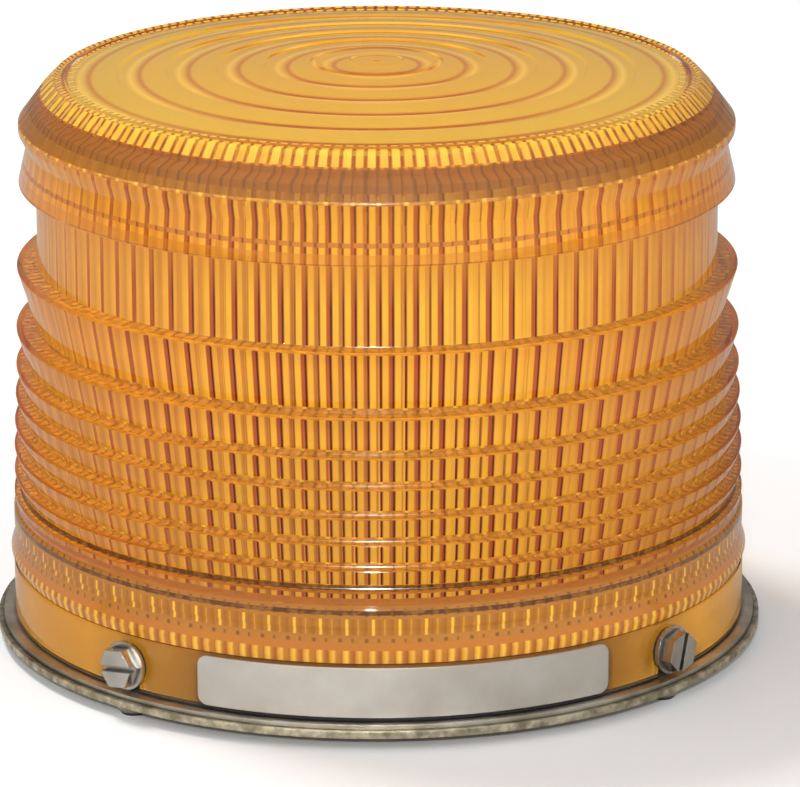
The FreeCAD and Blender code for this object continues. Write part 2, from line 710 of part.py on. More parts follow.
def make_weld_nuts():
    nuts = []
    outer_face = "(%s - pan_sheet - nut_seat)" % PAN_OUTER
    for number, angle in enumerate(SCREW_ANGLES, start=1):
        hexagon_block = doc.addObject("Part::Prism", "WeldNutHex%d" % number)
        hexagon_block.Polygon = 6
        hexagon_block.Placement.Rotation = FreeCAD.Rotation(FreeCAD.Vector(0, 1, 0), 90)
        drive(hexagon_block, "Circumradius", "nut_flats / sqrt(3)")
        drive(hexagon_block, "Height", "nut_height")
        drive(hexagon_block, "Placement.Base.x", outer_face + " - nut_height")
        bore = cylinder("WeldNutBore%d" % number, "screw_radius + screw_play", "nut_height + 2",
                        outer_face + " - nut_height - 1", "0", "0", "x")
        item = cut("WeldNut%d" % number, hexagon_block, bore)
        item.Placement.Rotation = FreeCAD.Rotation(angle, 0, 0)
        drive(item, "Placement.Base.z", "screw_height")
        nuts.append(item)
    finish(joined("WeldNuts", nuts), "weld_nuts")


# Nameplate


def make_nameplate():
    """Thin plate bent round the front of the skirt, with rounded corners."""
    body = new_body("nameplate")
    section = sketch_on(body, "XZ_Plane", "PlateSection")
    inside = "skirt_radius + label_film"
    outside = inside + " + label_thickness"
    foot = "%s + (skirt_height - label_height) / 2" % SKIRT_FOOT
    top = foot + " + label_height"
    outline(section, [(inside, foot), (outside, foot), (outside, top), (inside, top)])
    bent = lathe(body, section, "label_sweep", symmetric=True)
    doc.recompute()
    corners = []
    for index, edge in enumerate(bent.Shape.Edges, start=1):
        span = edge.BoundBox
        if span.ZLength < 1e-6 and edge.Length < 2 * value("label_thickness"):
            corners.append("Edge%d" % index)
    rounding = body.newObject("PartDesign::Fillet", "Corners")
    rounding.Base = (bent, corners)
    drive(rounding, "Radius", "label_corner")
    finish(body, "nameplate", -90.0)


# Circuit board and the parts on it


BOARD_FOOT = "(pan_height + standoff_height)"
BOARD_TOP = "board_top"
STANDOFF_PLACES = [("%sstandoff_place" % a, "%sstandoff_place" % b) for a in ("", "-") for b in ("", "-")]
POST_PLACES = around("post_circle", 3, 30.0)
PIN_PLACES = [("tube_bend * %d" % side, "0") for side in (-1, 1)]


def make_board_standoffs():
    items = []
    for number, (x, y) in enumerate(STANDOFF_PLACES, start=1):
        post = cylinder("Standoff%d" % number, "standoff_radius", "standoff_height", x, y, "pan_height")
        bore = cylinder("StandoffBore%d" % number, "small_screw + small_play", "small_screw_length",
                        x, y, BOARD_FOOT + " - small_screw_length + board_thickness / 2")
        items.append(cut("DrilledStandoff%d" % number, post, bore))
    finish(joined("BoardStandoffs", items), "board_standoffs")


def make_screws(name, label, places, seat):
    """Small pan-head screws driven down from a seat."""
    items = []
    for number, (x, y) in enumerate(places, start=1):
        head = cylinder("%sHead%d" % (name, number), "small_screw_head", "small_screw_head_height", x, y, seat)
        shank = cylinder("%sShank%d" % (name, number), "small_screw", "small_screw_length + 0.5",
                         x, y, "%s - small_screw_length" % seat)
        items += [head, shank]
    finish(joined(name, items), label)


def make_circuit_board():
    body = new_body("circuit_board")
    disc = sketch_on(body, "XY_Plane", "Disc", BOARD_FOOT)
    circle(disc, "0", "0", "board_radius")
    feature(body, "Pad", "Board", disc, Length="board_thickness")
    through = ("%s + 1" % BOARD_TOP, "board_thickness + 2")
    drill(body, "ScrewHole", STANDOFF_PLACES, "small_screw + small_play", *through)
    drill(body, "PostHole", POST_PLACES, "post_radius + 2 * small_play", *through)
    finish(body, "circuit_board")


def make_storage_capacitor(number):
    """Can with a crimp groove near its foot and a recessed end."""
    body = new_body("storage_capacitor_%d" % number)
    can = sketch_on(body, "XZ_Plane", "Can")
    crimp = "%s + 3 * capacitor_crimp" % BOARD_TOP
    top = "%s + capacitor_height" % BOARD_TOP
    outline(can, [
        ("0", BOARD_TOP), ("capacitor_radius", BOARD_TOP), ("capacitor_radius", crimp),
        ("capacitor_radius - capacitor_crimp", crimp + " + capacitor_crimp"),
        ("capacitor_radius", crimp + " + 2 * capacitor_crimp"),
        ("capacitor_radius", top + " - capacitor_crimp"), ("capacitor_radius - capacitor_crimp", top),
        ("0", top),
    ])
    lathe(body, can)
    drive(body, "Placement.Base.x", "capacitor_x_%d" % number)
    drive(body, "Placement.Base.y", "capacitor_y_%d" % number)
    finish(body, "storage_capacitor_%d" % number)


TRANSFORMER_X = "transformer_x"
TRANSFORMER_Y = "transformer_y"


def make_transformer():
    """Frame core with a middle leg, and the winding that fills its two windows."""
    block = box("CoreBlock", "core_length", "core_depth", "core_height", TRANSFORMER_X, TRANSFORMER_Y, BOARD_TOP)
    windows = []
    window_length = "(core_length - 2 * core_leg - core_post) / 2"
    window_height = "(core_height - 2 * core_leg)"
    for number, side in enumerate((-1, 1), start=1):
        centre = "%s + %d * (core_post + %s) / 2" % (TRANSFORMER_X, side, window_length)
        windows.append(box("CoreWindow%d" % number, window_length, "core_depth + 2", window_height,
                           centre, TRANSFORMER_Y, BOARD_TOP + " + core_leg"))
    finish(cut("TransformerCore", block, joined("CoreWindows", windows)), "transformer_core")
    outer = box("WindingBlock", "core_post + 2 * %s - 2 * winding_play" % window_length,
                "core_depth + 2 * winding_bulge", window_height + " - 2 * winding_play",
                TRANSFORMER_X, TRANSFORMER_Y, BOARD_TOP + " + core_leg + winding_play")
    inner = box("WindingHole", "core_post + 2 * winding_play", "core_depth + 2 * winding_play",
                "core_height", TRANSFORMER_X, TRANSFORMER_Y, BOARD_TOP)
    rounded = doc.addObject("Part::Fillet", "WindingRounded")
    rounded.Base = outer
    doc.recompute()
    upright = [index for index, edge in enumerate(outer.Shape.Edges, start=1)
               if edge.BoundBox.XLength < 1e-6 and edge.BoundBox.YLength < 1e-6]
    rounding = value("winding_bulge") * 0.9
    rounded.Edges = [(index, rounding, rounding) for index in upright]
    finish(cut("TransformerWinding", rounded, inner), "transformer_winding")


SINK_X = "sink_x"
SINK_Y = "sink_y"


def make_heat_sink():
    """Web across X with fins at its back, the transistor screwed to its face."""
    web = box("SinkWeb", "sink_length", "sink_sheet", "sink_height", SINK_X, SINK_Y, BOARD_TOP)
    fins = []
    for number in range(int(value("fin_count"))):
        x = "%s + (sink_length - sink_sheet) * (%d / (fin_count - 1) - 0.5)" % (SINK_X, number)
        fins.append(box("SinkFin%d" % (number + 1), "sink_sheet", "sink_fin", "sink_height", x,
                        "%s - sink_sheet / 2 - sink_fin / 2 + 0.1" % SINK_Y, BOARD_TOP))
    screw_hole = cylinder("SinkHole", "small_screw + small_play", "sink_sheet + 2",
                          SINK_X, SINK_Y + " - sink_sheet / 2 - 1", TAB_HOLE, "y")
    finish(cut("HeatSink", joined("SinkBody", [web] + fins), screw_hole), "heat_sink")


TAB_HOLE = "(%s + transistor_lift + transistor_tab_height - 3)" % BOARD_TOP
TAB_FACE = "(%s + sink_sheet / 2)" % SINK_Y


def make_power_transistor():
    tab = box("TransistorTab", "transistor_width", "transistor_tab", "transistor_tab_height",
              SINK_X, TAB_FACE + " + transistor_tab / 2", BOARD_TOP + " + transistor_lift")
    hole = cylinder("TabHole", "small_screw + small_play", "transistor_tab + 2",
                    SINK_X, TAB_FACE + " - 1", TAB_HOLE, "y")
    body = box("TransistorBody", "transistor_width", "transistor_depth", "transistor_body",
               SINK_X, TAB_FACE + " + transistor_tab + transistor_depth / 2 - 0.05",
               BOARD_TOP + " + transistor_lift")
    leads = [box("TransistorLead%d" % (number + 1), "0.8", "0.6", "transistor_lift + 0.1",
                 "%s + %g" % (SINK_X, 2.54 * (number - 1)), TAB_FACE + " + transistor_tab + 1", BOARD_TOP)
             for number in range(3)]
    finish(joined("PowerTransistor", [cut("DrilledTab", tab, hole), body] + leads), "power_transistor")
    head = cylinder("TabScrewHead", "small_screw_head", "small_screw_head_height",
                    SINK_X, TAB_FACE + " + transistor_tab", TAB_HOLE, "y")
    shank = cylinder("TabScrewShank", "small_screw", "small_screw_length", SINK_X,
                     TAB_FACE + " + transistor_tab + 0.1 - small_screw_length", TAB_HOLE, "y")
    finish(joined("TransistorScrew", [head, shank]), "transistor_screw")


def make_smoothing_capacitors():
    cans = [cylinder("SmallCan%d" % number, "small_can_radius", "small_can_height",
                     "small_can_x_%d" % number, "small_can_y", BOARD_TOP) for number in (1, 2, 3)]
    finish(joined("SmoothingCapacitors", cans), "smoothing_capacitors")


def make_resistors():
    """A row of resistors on bent leads."""
    items = []
    axis = BOARD_TOP + " + resistor_lift"
    for number in range(int(value("resistor_count"))):
        x = "resistor_x + %d * resistor_pitch" % number
        items.append(cylinder("ResistorBody%d" % number, "resistor_radius", "resistor_length",
                              x, "resistor_y - resistor_length / 2", axis, "y"))
        items.append(cylinder("ResistorLead%d" % number, "wire_radius", "resistor_length + 3.2",
                              x, "resistor_y - 1.6 - resistor_length / 2", axis, "y"))
        for end, side in (("Near", "-"), ("Far", "+")):
            items.append(box("ResistorLeg%s%d" % (end, number), "2.5 * wire_radius", "2.5 * wire_radius",
                             "resistor_lift + 1.25 * wire_radius", x,
                             "resistor_y %s (resistor_length / 2 + 1.6)" % side, BOARD_TOP))
    finish(joined("Resistors", items), "resistors")


def make_timing_chip():
    items = [box("ChipBody", "chip_length", "chip_width", "chip_height", "chip_x", "chip_y",
                 BOARD_TOP + " + chip_lift")]
    for number in range(4):
        for side in (-1, 1):
            items.append(box("ChipLeg%d_%d" % (number, side + 2), "0.6", "1", "chip_lift + chip_height / 2",
                             "chip_x + (%g) * chip_pitch" % (number - 1.5),
                             "chip_y + (%d) * (chip_width / 2 + 0.3)" % side, BOARD_TOP))
    finish(joined("TimingChip", items), "timing_chip")


TERMINAL_X = "terminal_x"
TERMINAL_Y = "terminal_y"
TERMINAL_SEAT = "(%s + terminal_height * 0.6)" % BOARD_TOP


def make_terminals():
    block = box("TerminalBody", "terminal_length", "terminal_width", "terminal_height",
                TERMINAL_X, TERMINAL_Y, BOARD_TOP)
    hollows = []
    screws = []
    for number, side in enumerate((-1, 1), start=1):
        x = "%s + %d * terminal_pitch / 2" % (TERMINAL_X, side)
        hollows.append(cylinder("TerminalMouth%d" % number, "terminal_screw - small_play",
                                "terminal_width / 2 + 1", x, TERMINAL_Y + " - terminal_width / 2 - 1",
                                BOARD_TOP + " + terminal_height * 0.35", "y"))
        hollows.append(cylinder("TerminalWell%d" % number, "terminal_screw + small_play",
                                "terminal_height", x, TERMINAL_Y, TERMINAL_SEAT))
        screws.append(cylinder("TerminalScrew%d" % number, "terminal_screw", "terminal_height * 0.3",
                               x, TERMINAL_Y, TERMINAL_SEAT))
    finish(cut("TerminalBlock", block, joined("TerminalHollows", hollows)), "terminal_block")
    finish(joined("TerminalScrews", screws), "terminal_screws")


def make_trigger_transformer():
    """Potted block with the stub of its high-voltage lead on top."""
    block = box("TriggerBlock", "trigger_length", "trigger_width", "trigger_height", "trigger_x",
                "trigger_y", BOARD_TOP)
    stub = cylinder("TriggerStub", "wire_radius * 2", "4", "trigger_x", "trigger_y",
                    BOARD_TOP + " + trigger_height - 1")
    finish(joined("TriggerTransformer", [block, stub]), "trigger_transformer")


# Reflector, socket and flash tube


def make_reflector_posts():
    posts = []
    for number, (x, y) in enumerate(POST_PLACES, start=1):
        post = cylinder("Post%d" % number, "post_radius", "reflector_height - reflector_sheet - pan_height",
                        x, y, "pan_height")
        bore = cylinder("PostBore%d" % number, "small_screw + small_play", "small_screw_length",
                        x, y, "reflector_height - small_screw_length")
        posts.append(cut("DrilledPost%d" % number, post, bore))
    finish(joined("ReflectorPosts", posts), "reflector_posts")


def make_reflector():
    body = new_body("reflector")
    dish = sketch_on(body, "XZ_Plane", "Dish")
    under = "reflector_height - reflector_sheet"
    outline(dish, [
        ("socket_spigot + small_play", "reflector_height"), ("reflector_radius", "reflector_height"),
        ("reflector_radius", "reflector_height - reflector_rim"),
        ("reflector_radius - reflector_sheet", "reflector_height - reflector_rim"),
        ("reflector_radius - reflector_sheet", under), ("socket_spigot + small_play", under),
    ])
    lathe(body, dish)
    drill(body, "ScrewHole", POST_PLACES, "small_screw + small_play", "reflector_height + 1",
          "reflector_sheet + 2")
    finish(body, "reflector")


def make_tube_socket():
    body = new_body("tube_socket")
    shape = sketch_on(body, "XZ_Plane", "SocketSection")
    top = "reflector_height + socket_height"
    outline(shape, [
        ("0", "reflector_height - spigot_length"), ("socket_spigot", "reflector_height - spigot_length"),
        ("socket_spigot", "reflector_height"), ("socket_radius", "reflector_height"),
        ("socket_radius", top + " - 1"), ("socket_radius - 1", top), ("0", top),
    ])
    lathe(body, shape)
    drill(body, "PinHole", PIN_PLACES, "pin_radius + small_play", top + " + 1",
          "socket_height + spigot_length + 2")
    finish(body, "tube_socket")


SOCKET_TOP = "(reflector_height + socket_height)"
TUBE_FOOT = "tube_foot"


def make_flash_tube():
    """Glass tube bent to a U, with its metal end caps and its pins."""
    body = new_body("flash_tube")
    path = sketch_on(body, "XZ_Plane", "TubePath")
    bend = value("tube_bend")
    low = value(TUBE_FOOT)
    high = value("tube_bend_height")
    left = path.addGeometry(Part.LineSegment(FreeCAD.Vector(-bend, low, 0), FreeCAD.Vector(-bend, high, 0)))
    arc = path.addGeometry(Part.ArcOfCircle(Part.Circle(FreeCAD.Vector(0, high, 0),
                                                        FreeCAD.Vector(0, 0, 1), bend), 0, math.pi))
    right = path.addGeometry(Part.LineSegment(FreeCAD.Vector(bend, high, 0), FreeCAD.Vector(bend, low, 0)))
    path.addConstraint([
        Sketcher.Constraint("Tangent", left, 2, arc, 2), Sketcher.Constraint("Tangent", arc, 1, right, 1),
        Sketcher.Constraint("Vertical", left), Sketcher.Constraint("Vertical", right),
        Sketcher.Constraint("PointOnObject", arc, 3, -2),
    ])
    for rule, formula in ((Sketcher.Constraint("Radius", arc, bend), "tube_bend"),
                          (Sketcher.Constraint("DistanceY", -1, 1, left, 1, low), TUBE_FOOT),
                          (Sketcher.Constraint("DistanceY", -1, 1, right, 2, low), TUBE_FOOT),
                          (Sketcher.Constraint("DistanceY", -1, 1, arc, 3, high), "tube_bend_height")):
        drive(path, "Constraints[%d]" % path.addConstraint(rule), formula)
    ring = sketch_on(body, "XY_Plane", "TubeSection", TUBE_FOOT)
    circle(ring, "-tube_bend", "0", "tube_radius")
    circle(ring, "-tube_bend", "0", "tube_bore")
    doc.recompute()
    pipe = body.newObject("PartDesign::AdditivePipe", "Glass")
    pipe.Profile = ring
    pipe.Spine = path
    finish(body, "flash_tube")
    caps = []
    for number, (x, y) in enumerate(PIN_PLACES, start=1):
        sleeve = cylinder("CapSleeve%d" % number, "tube_radius + small_play + tube_cap_wall",
                          "tube_cap_height + tube_cap_wall", x, y, TUBE_FOOT + " - tube_cap_wall")
        seat = cylinder("CapSeat%d" % number, "tube_radius + small_play", "tube_cap_height + 1",
                        x, y, TUBE_FOOT)
        pin = cylinder("CapPin%d" % number, "pin_radius",
                       "socket_height + spigot_length + 2", x, y, "reflector_height - spigot_length - 1.9")
        caps += [cut("Cap%d" % number, sleeve, seat), pin]
    finish(joined("TubeCaps", caps), "tube_caps")


def make_trigger_wire():
    """Bare wire up the outside of both legs, with clip bands round the glass."""
    items = []
    band_radius = "tube_radius + small_play + 2 * wire_radius"
    top_band = "(%s + tube_cap_height + tube_leg * 0.8)" % TUBE_FOOT
    for side, (x, y) in enumerate(PIN_PLACES, start=1):
        items.append(cylinder("TriggerRun%d" % side, "wire_radius", "%s + 1 - %s" % (top_band, SOCKET_TOP), x,
                              "-(tube_radius + small_play + tube_cap_wall + 1.2 * wire_radius)",
                              SOCKET_TOP))
        for number in range(3):
            level = "%s - tube_leg * %g" % (top_band, 0.3 * number)
            outer = cylinder("BandOuter%d_%d" % (number, side), band_radius, "2 * wire_radius", x, y, level)
            inner = cylinder("BandInner%d_%d" % (number, side), "tube_radius + small_play",
                             "4 * wire_radius", x, y, level + " - wire_radius")
            items.append(cut("Band%d_%d" % (number, side), outer, inner))
    finish(joined("TriggerWire", items), "trigger_wire")


make_base_plate()
make_base_pan()
make_plate_rivets()
make_mounting_nuts()
make_cable_grommet()
make_lens_gasket()
for place, (angle, roll) in enumerate(zip(SCREW_ANGLES, SCREW_ROLLS), start=1):
    make_lens_screw(place, angle, roll)
    make_sealing_washer(place, angle)
make_weld_nuts()
make_nameplate()
make_board_standoffs()
make_circuit_board()
make_screws("BoardScrews", "board_screws", STANDOFF_PLACES, BOARD_TOP)
make_storage_capacitor(1)
make_storage_capacitor(2)
make_transformer()
make_heat_sink()
make_power_transistor()
make_smoothing_capacitors()
make_resistors()
make_timing_chip()
make_terminals()
make_trigger_transformer()
make_reflector_posts()
make_reflector()
make_screws("ReflectorScrews", "reflector_screws", POST_PLACES, "reflector_height")
make_tube_socket()
make_flash_tube()
make_trigger_wire()


# Check and write


def check_and_write():
    """Every object has to be sound before any file is written."""
    doc.recompute()
    for item in doc.Objects:
        bad = [state for state in item.State if state in ("Invalid", "Error")]
        if bad:
            raise RuntimeError("%s is %s" % (item.Label, bad))
    labels = [item.Label for item in SUB_PARTS]
    if len(set(labels)) != len(labels):
        raise RuntimeError("two sub-parts share a label")
    for item in SUB_PARTS:
        if item.Shape.isNull() or not item.Shape.isValid() or item.Shape.Volume <= 0:
            raise RuntimeError("bad shape: " + item.Label)
    os.makedirs("parts", exist_ok=True)
    for item in SUB_PARTS:
        item.Shape.exportStep("parts/%s.step" % item.Label)
        print("%-22s %2d solids %10.1f mm3" % (item.Label, len(item.Shape.Solids), item.Shape.Volume))


check_and_write()
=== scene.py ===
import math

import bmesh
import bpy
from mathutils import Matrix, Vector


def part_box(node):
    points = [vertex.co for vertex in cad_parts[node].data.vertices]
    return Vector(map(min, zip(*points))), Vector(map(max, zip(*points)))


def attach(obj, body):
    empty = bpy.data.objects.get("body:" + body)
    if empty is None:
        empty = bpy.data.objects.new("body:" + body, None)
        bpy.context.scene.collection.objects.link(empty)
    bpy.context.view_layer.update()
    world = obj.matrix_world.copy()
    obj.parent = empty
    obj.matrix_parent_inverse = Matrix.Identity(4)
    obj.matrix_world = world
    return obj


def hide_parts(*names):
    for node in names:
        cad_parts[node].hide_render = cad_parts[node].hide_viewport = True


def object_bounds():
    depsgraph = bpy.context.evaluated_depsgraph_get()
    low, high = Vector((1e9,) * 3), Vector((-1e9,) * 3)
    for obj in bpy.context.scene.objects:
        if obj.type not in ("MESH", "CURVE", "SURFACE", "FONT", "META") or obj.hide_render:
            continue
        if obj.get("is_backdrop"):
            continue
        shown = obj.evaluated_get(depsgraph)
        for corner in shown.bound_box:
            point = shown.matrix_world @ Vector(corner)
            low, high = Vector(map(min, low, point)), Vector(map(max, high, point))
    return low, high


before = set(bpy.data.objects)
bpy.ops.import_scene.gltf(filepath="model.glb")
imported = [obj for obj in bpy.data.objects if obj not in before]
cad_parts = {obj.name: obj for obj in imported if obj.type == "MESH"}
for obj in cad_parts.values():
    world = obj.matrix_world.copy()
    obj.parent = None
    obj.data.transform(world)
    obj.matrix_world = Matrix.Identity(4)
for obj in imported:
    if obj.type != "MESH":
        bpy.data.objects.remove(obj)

# %% [markdown]
# # An amber flash beacon
#
# The real object is a flash tube under a Fresnel lens. The lens is one piece of clear amber plastic,
# with ring prisms outside and upright ribs inside, and it stands on a pressed steel base that is
# zinc plated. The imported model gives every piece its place, so the first cell measures it and
# collects the modules that the rest needs.

scene = bpy.context.scene
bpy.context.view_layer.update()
MM = 0.001
RIVET_HEAD = 2.3  # mm under the plate: the beacon stands on these heads
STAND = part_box("plate_rivets")[0][2] + RIVET_HEAD * MM

# %% [markdown]
# ## Colours and nodes
#
# Colours are written as the hex values that a paint or plastics card gives, and one function turns
# them to the linear numbers that a shader works with. A second function adds one node to a
# material, sets its values and makes its links, so that each material reads as a short list. The
# small ones after it are the sums and mixes that nearly every finish here needs.

# %% Colours and nodes


def linear(hex_colour):
    """sRGB hex to linear red, green, blue and alpha."""
    parts = [int(hex_colour[i:i + 2], 16) / 255 for i in (0, 2, 4)]
    return tuple([p / 12.92 if p <= 0.04045 else ((p + 0.055) / 1.055) ** 2.4 for p in parts] + [1.0])


def new_material(name):
    """An empty node material and its output."""
    material = bpy.data.materials.new(name)
    material.use_nodes = True
    material.node_tree.nodes.clear()
    return material, material.node_tree.nodes.new("ShaderNodeOutputMaterial")


def add(material, kind, settings=None, **inputs):
    """Add a node. Inputs are values or sockets to link from: A_B is the input "A B", i0 the first."""
    node = material.node_tree.nodes.new("ShaderNode" + kind)
    for name, setting in (settings or {}).items():
        setattr(node, name, setting)
    for name, given in inputs.items():
        numbered = name[0] == "i" and name[1:].isdigit()
        socket = node.inputs[int(name[1:]) if numbered else name.replace("_", " ")]
        if isinstance(given, bpy.types.NodeSocket):
            material.node_tree.links.new(given, socket)
        else:
            socket.default_value = given
    return node


def bands(material, value, stops):
    """A colour ramp; each stop is a position and a hex colour, or a number for a linear grey."""
    node = add(material, "ValToRGB", Fac=value)
    elements = node.color_ramp.elements
    while len(elements) < len(stops):
        elements.new(1.0)
    for element, (position, colour) in zip(elements, stops):
        element.position = position
    for element, (position, colour) in zip(elements, stops):
        element.color = linear(colour) if isinstance(colour, str) else (colour, colour, colour, 1.0)
    return node.outputs["Color"]


def maths(material, operation, first, second=0.0):
    """One sum of two numbers or sockets."""
    return add(material, "Math", {"operation": operation}, i0=first, i1=second).outputs[0]


def eased(material, value, low, high, start=0.0, end=1.0):
    """A value from low to high becomes start to end, and is held outside them."""
    return add(material, "MapRange", Value=value, From_Min=low, From_Max=high, To_Min=start,
               To_Max=end).outputs["Result"]


def between(material, value, low, high):
    """One where a height lies between two given in millimetres, nought elsewhere."""
    above = maths(material, "GREATER_THAN", value, low * MM + STAND)
    return maths(material, "MULTIPLY", above, maths(material, "LESS_THAN", value, high * MM + STAND))


def mixed(material, factor, under, over):
    """One colour over another."""
    return add(material, "Mix", {"data_type": "RGBA"}, i0=factor, i6=under, i7=over).outputs[2]


print("amber in linear light", [round(v, 3) for v in linear("F2A324")[:3]])

# %% [markdown]
# ## Turned shapes
#
# Most of the beacon is turned: a profile swept round the axis. A profile is a list of corners, each
# with the radius of its rounding, because a moulded or pressed edge is never perfectly sharp and
# the thin bright line on it is what shows the eye where a ring begins. The corners are turned into
# short arcs first, and then every point becomes a ring of vertices.

# %% Turned shapes


def rounded(corners, steps=3):
    """Replace each corner (radius, height, rounding) by a short arc of points."""
    points = []
    for i, (x, z, bend) in enumerate(corners):
        here = Vector((x, z))
        if bend == 0 or i in (0, len(corners) - 1):
            points.append(here)
            continue
        before = Vector(corners[i - 1][:2]) - here
        after = Vector(corners[i + 1][:2]) - here
        reach = min(bend / max(math.tan(before.angle(after) / 2), 0.05), before.length * 0.45,
                    after.length * 0.45)
        first = here + before.normalized() * reach
        last = here + after.normalized() * reach
        for step in range(steps + 1):
            t = step / steps
            points.append((1 - t) ** 2 * first + 2 * t * (1 - t) * here + t ** 2 * last)
    return points


def mesh_object(name, vertices, faces, sharp=30.0):
    """A smooth mesh whose edges are sharp where they turn by more than an angle."""
    mesh = bpy.data.meshes.new(name)
    mesh.from_pydata(vertices, [], faces)
    mesh.validate()
    mesh.shade_smooth()
    mesh.set_sharp_from_angle(angle=math.radians(sharp))
    piece = bpy.data.objects.new(name, mesh)
    scene.collection.objects.link(piece)
    return piece


def turned(name, rings, columns, sharp=30.0):
    """Sweep rings round Z; a ring is (radius, height, change) and change(angle) moves its radius."""
    vertices = []
    for radius, height, change in rings:
        for column in range(columns):
            angle = 2 * math.pi * column / columns
            r = radius + (change(angle) if change else 0.0)
            vertices.append((r * math.cos(angle) * MM, r * math.sin(angle) * MM, height * MM + STAND))
    faces = []
    for ring in range(len(rings) - 1):
        for column in range(columns):
            a = ring * columns + column
            b = ring * columns + (column + 1) % columns
            faces.append((a, b, b + columns, a + columns))
    faces.append(tuple(range(columns))[::-1])
    last = (len(rings) - 1) * columns
    faces.append(tuple(range(last, last + columns)))
    return mesh_object(name, vertices, faces, sharp)


# %% [markdown]
# ## The lens
#
# The moulding is a thick wall: ring prisms outside bend the flash level, and ninety upright ribs
# inside spread it sideways. The ribs are real geometry, and the stripes that the eye reads on them
# are partly light bent by them and partly painted on the inside face: painted light on the flats and
# painted shade on the flanks. The outer profile runs from the skirt's foot to the middle of the top,
# and the inner one comes back.

# %% Lens profile
RIBS = 90
STEPS_PER_RIB = 8
PRISMS = [(79.1, 30.0), (79.0, 34.6), (78.9, 40.0), (78.7, 45.5), (78.4, 51.6), (78.1, 58.0),
          (77.9, 66.3), (77.5, 79.9)]
EDGE, LEDGE_RISE, NECK = 0.3, 0.3, 73.0
FOOT = 3.1

outer = [(79.4, FOOT, 0), (79.4, 14.5, EDGE), (78.9, 14.5, EDGE), (80.0, 17.1, 0.5), (78.5, 21.9, 0.3),
         (79.2, 22.6, EDGE), (79.2, 26.4, EDGE), (78.5, 27.1, 0.3)]
for number, (radius, height) in enumerate(PRISMS):
    if number + 1 < len(PRISMS):
        next_radius, next_height = PRISMS[number + 1]
        lean = 0.31 + 0.02 * (len(PRISMS) - 2 - number)
        root = next_radius - lean * (next_height - height - LEDGE_RISE)
    else:
        root = NECK
    outer += [(radius, height, EDGE), (root, height + LEDGE_RISE, 0.35)]
outer += [(NECK, 97.7, 0.5), (76.7, 98.0, EDGE), (74.8, 106.2, 0.4), (76.5, 109.5, 0.4),
          (76.5, 111.0, 0.3), (72.0, 117.0, 0.3), (69.0, 120.2, 0.4)]
print(len(outer), "corners up to the edge of the top")

# %% [markdown]
# The top is a flat Fresnel lens of its own: five ring zones, each slightly crowned, with a small
# step between one and the next, round a plain disc that still carries the mark of the moulding gate.

# %% Top zones
ZONES = [68.2, 65.7, 54.9, 44.5, 33.8, 23.4, 13.8]
STEP = 0.45
CENTRE_HEIGHT, CROWN, RIM = 123.2, 3.1, 69.0


def crown(radius):
    """Height of the crowned top."""
    return CENTRE_HEIGHT - CROWN * (radius / RIM) ** 1.6


top = []
for outside, inside in zip(ZONES, ZONES[1:]):
    top.append((outside, crown(outside) - STEP, 0.12))
    for share in (0.2, 0.4, 0.6, 0.8):
        radius = outside + (inside - outside) * share
        bulge = 1.2 * share * (1 - share) * STEP
        top.append((radius, crown(radius) - STEP + STEP * share + bulge, 0))
    top.append((inside + 0.5, crown(inside), 0.2))
top += [(13.8, 122.55, 0.15), (13.1, 123.15, 0.3), (12.0, 123.0, 0.3), (6.2, 123.1, 0.2),
        (5.9, 123.35, 0.2), (5.4, 123.1, 0.2), (1.6, 123.15, 0.2), (1.3, 123.4, 0.15), (0.7, 123.4, 0)]
print(len(top), "corners over the top")

# %% [markdown]
# Inside, a ledge carries the ribbed wall over the skirt, and the ceiling is a smooth recess. The
# whole wall is one closed band of faces, so that light which enters it also leaves it, and the
# faces inside get a second material.

# %% Lens mesh


def rib(depth):
    """The ribbed wall: flat ribs and flat grooves of one width, with a sloping flank between them."""
    def change(angle):
        step = round(angle * RIBS * STEPS_PER_RIB / (2 * math.pi)) % STEPS_PER_RIB
        return depth if step < STEPS_PER_RIB / 2 else 0.0
    return change


def shoulder_rib(angle):
    """Shallow ribs moulded on the outside of the shoulder."""
    return -0.35 * abs(math.sin(angle * RIBS / 2)) ** 1.5


rings = []
for point in rounded(outer + top):
    on_shoulder = RIM < point.x < 72.3 and point.y > 116
    rings.append((point.x, point.y, shoulder_rib if on_shoulder else None))
HUB, CEILING, WALL, SKIRT_WALL, INNER_LEDGE = 0.7, 117.4, 71.0, 77.0, 26.5
RIB_DEPTH, RIB_END = 0.45, 0.2
SHARP = 32.0  # degrees; below it an edge of the lens is shaded smooth
recess = [(HUB, CEILING, 0), (66.0, CEILING, 0.4), (66.0, 113.0, 0.3), (WALL, 113.0, 0.4),
          (WALL, 111.6, 0)]
skirt = [(72.0, INNER_LEDGE, 0), (SKIRT_WALL, INNER_LEDGE, 0.4), (SKIRT_WALL, FOOT, 0)]
rings.append((HUB, CEILING, None))
rings += [(point.x, point.y, None) for point in rounded(recess)[1:]]
rings += [(WALL, 111.0, rib(RIB_END)), (WALL, 110.4, rib(RIB_DEPTH)), (WALL, 26.8, rib(RIB_DEPTH)),
          (71.3, INNER_LEDGE, rib(RIB_END))]
rings += [(point.x, point.y, None) for point in rounded(skirt)]
COLUMNS = RIBS * STEPS_PER_RIB


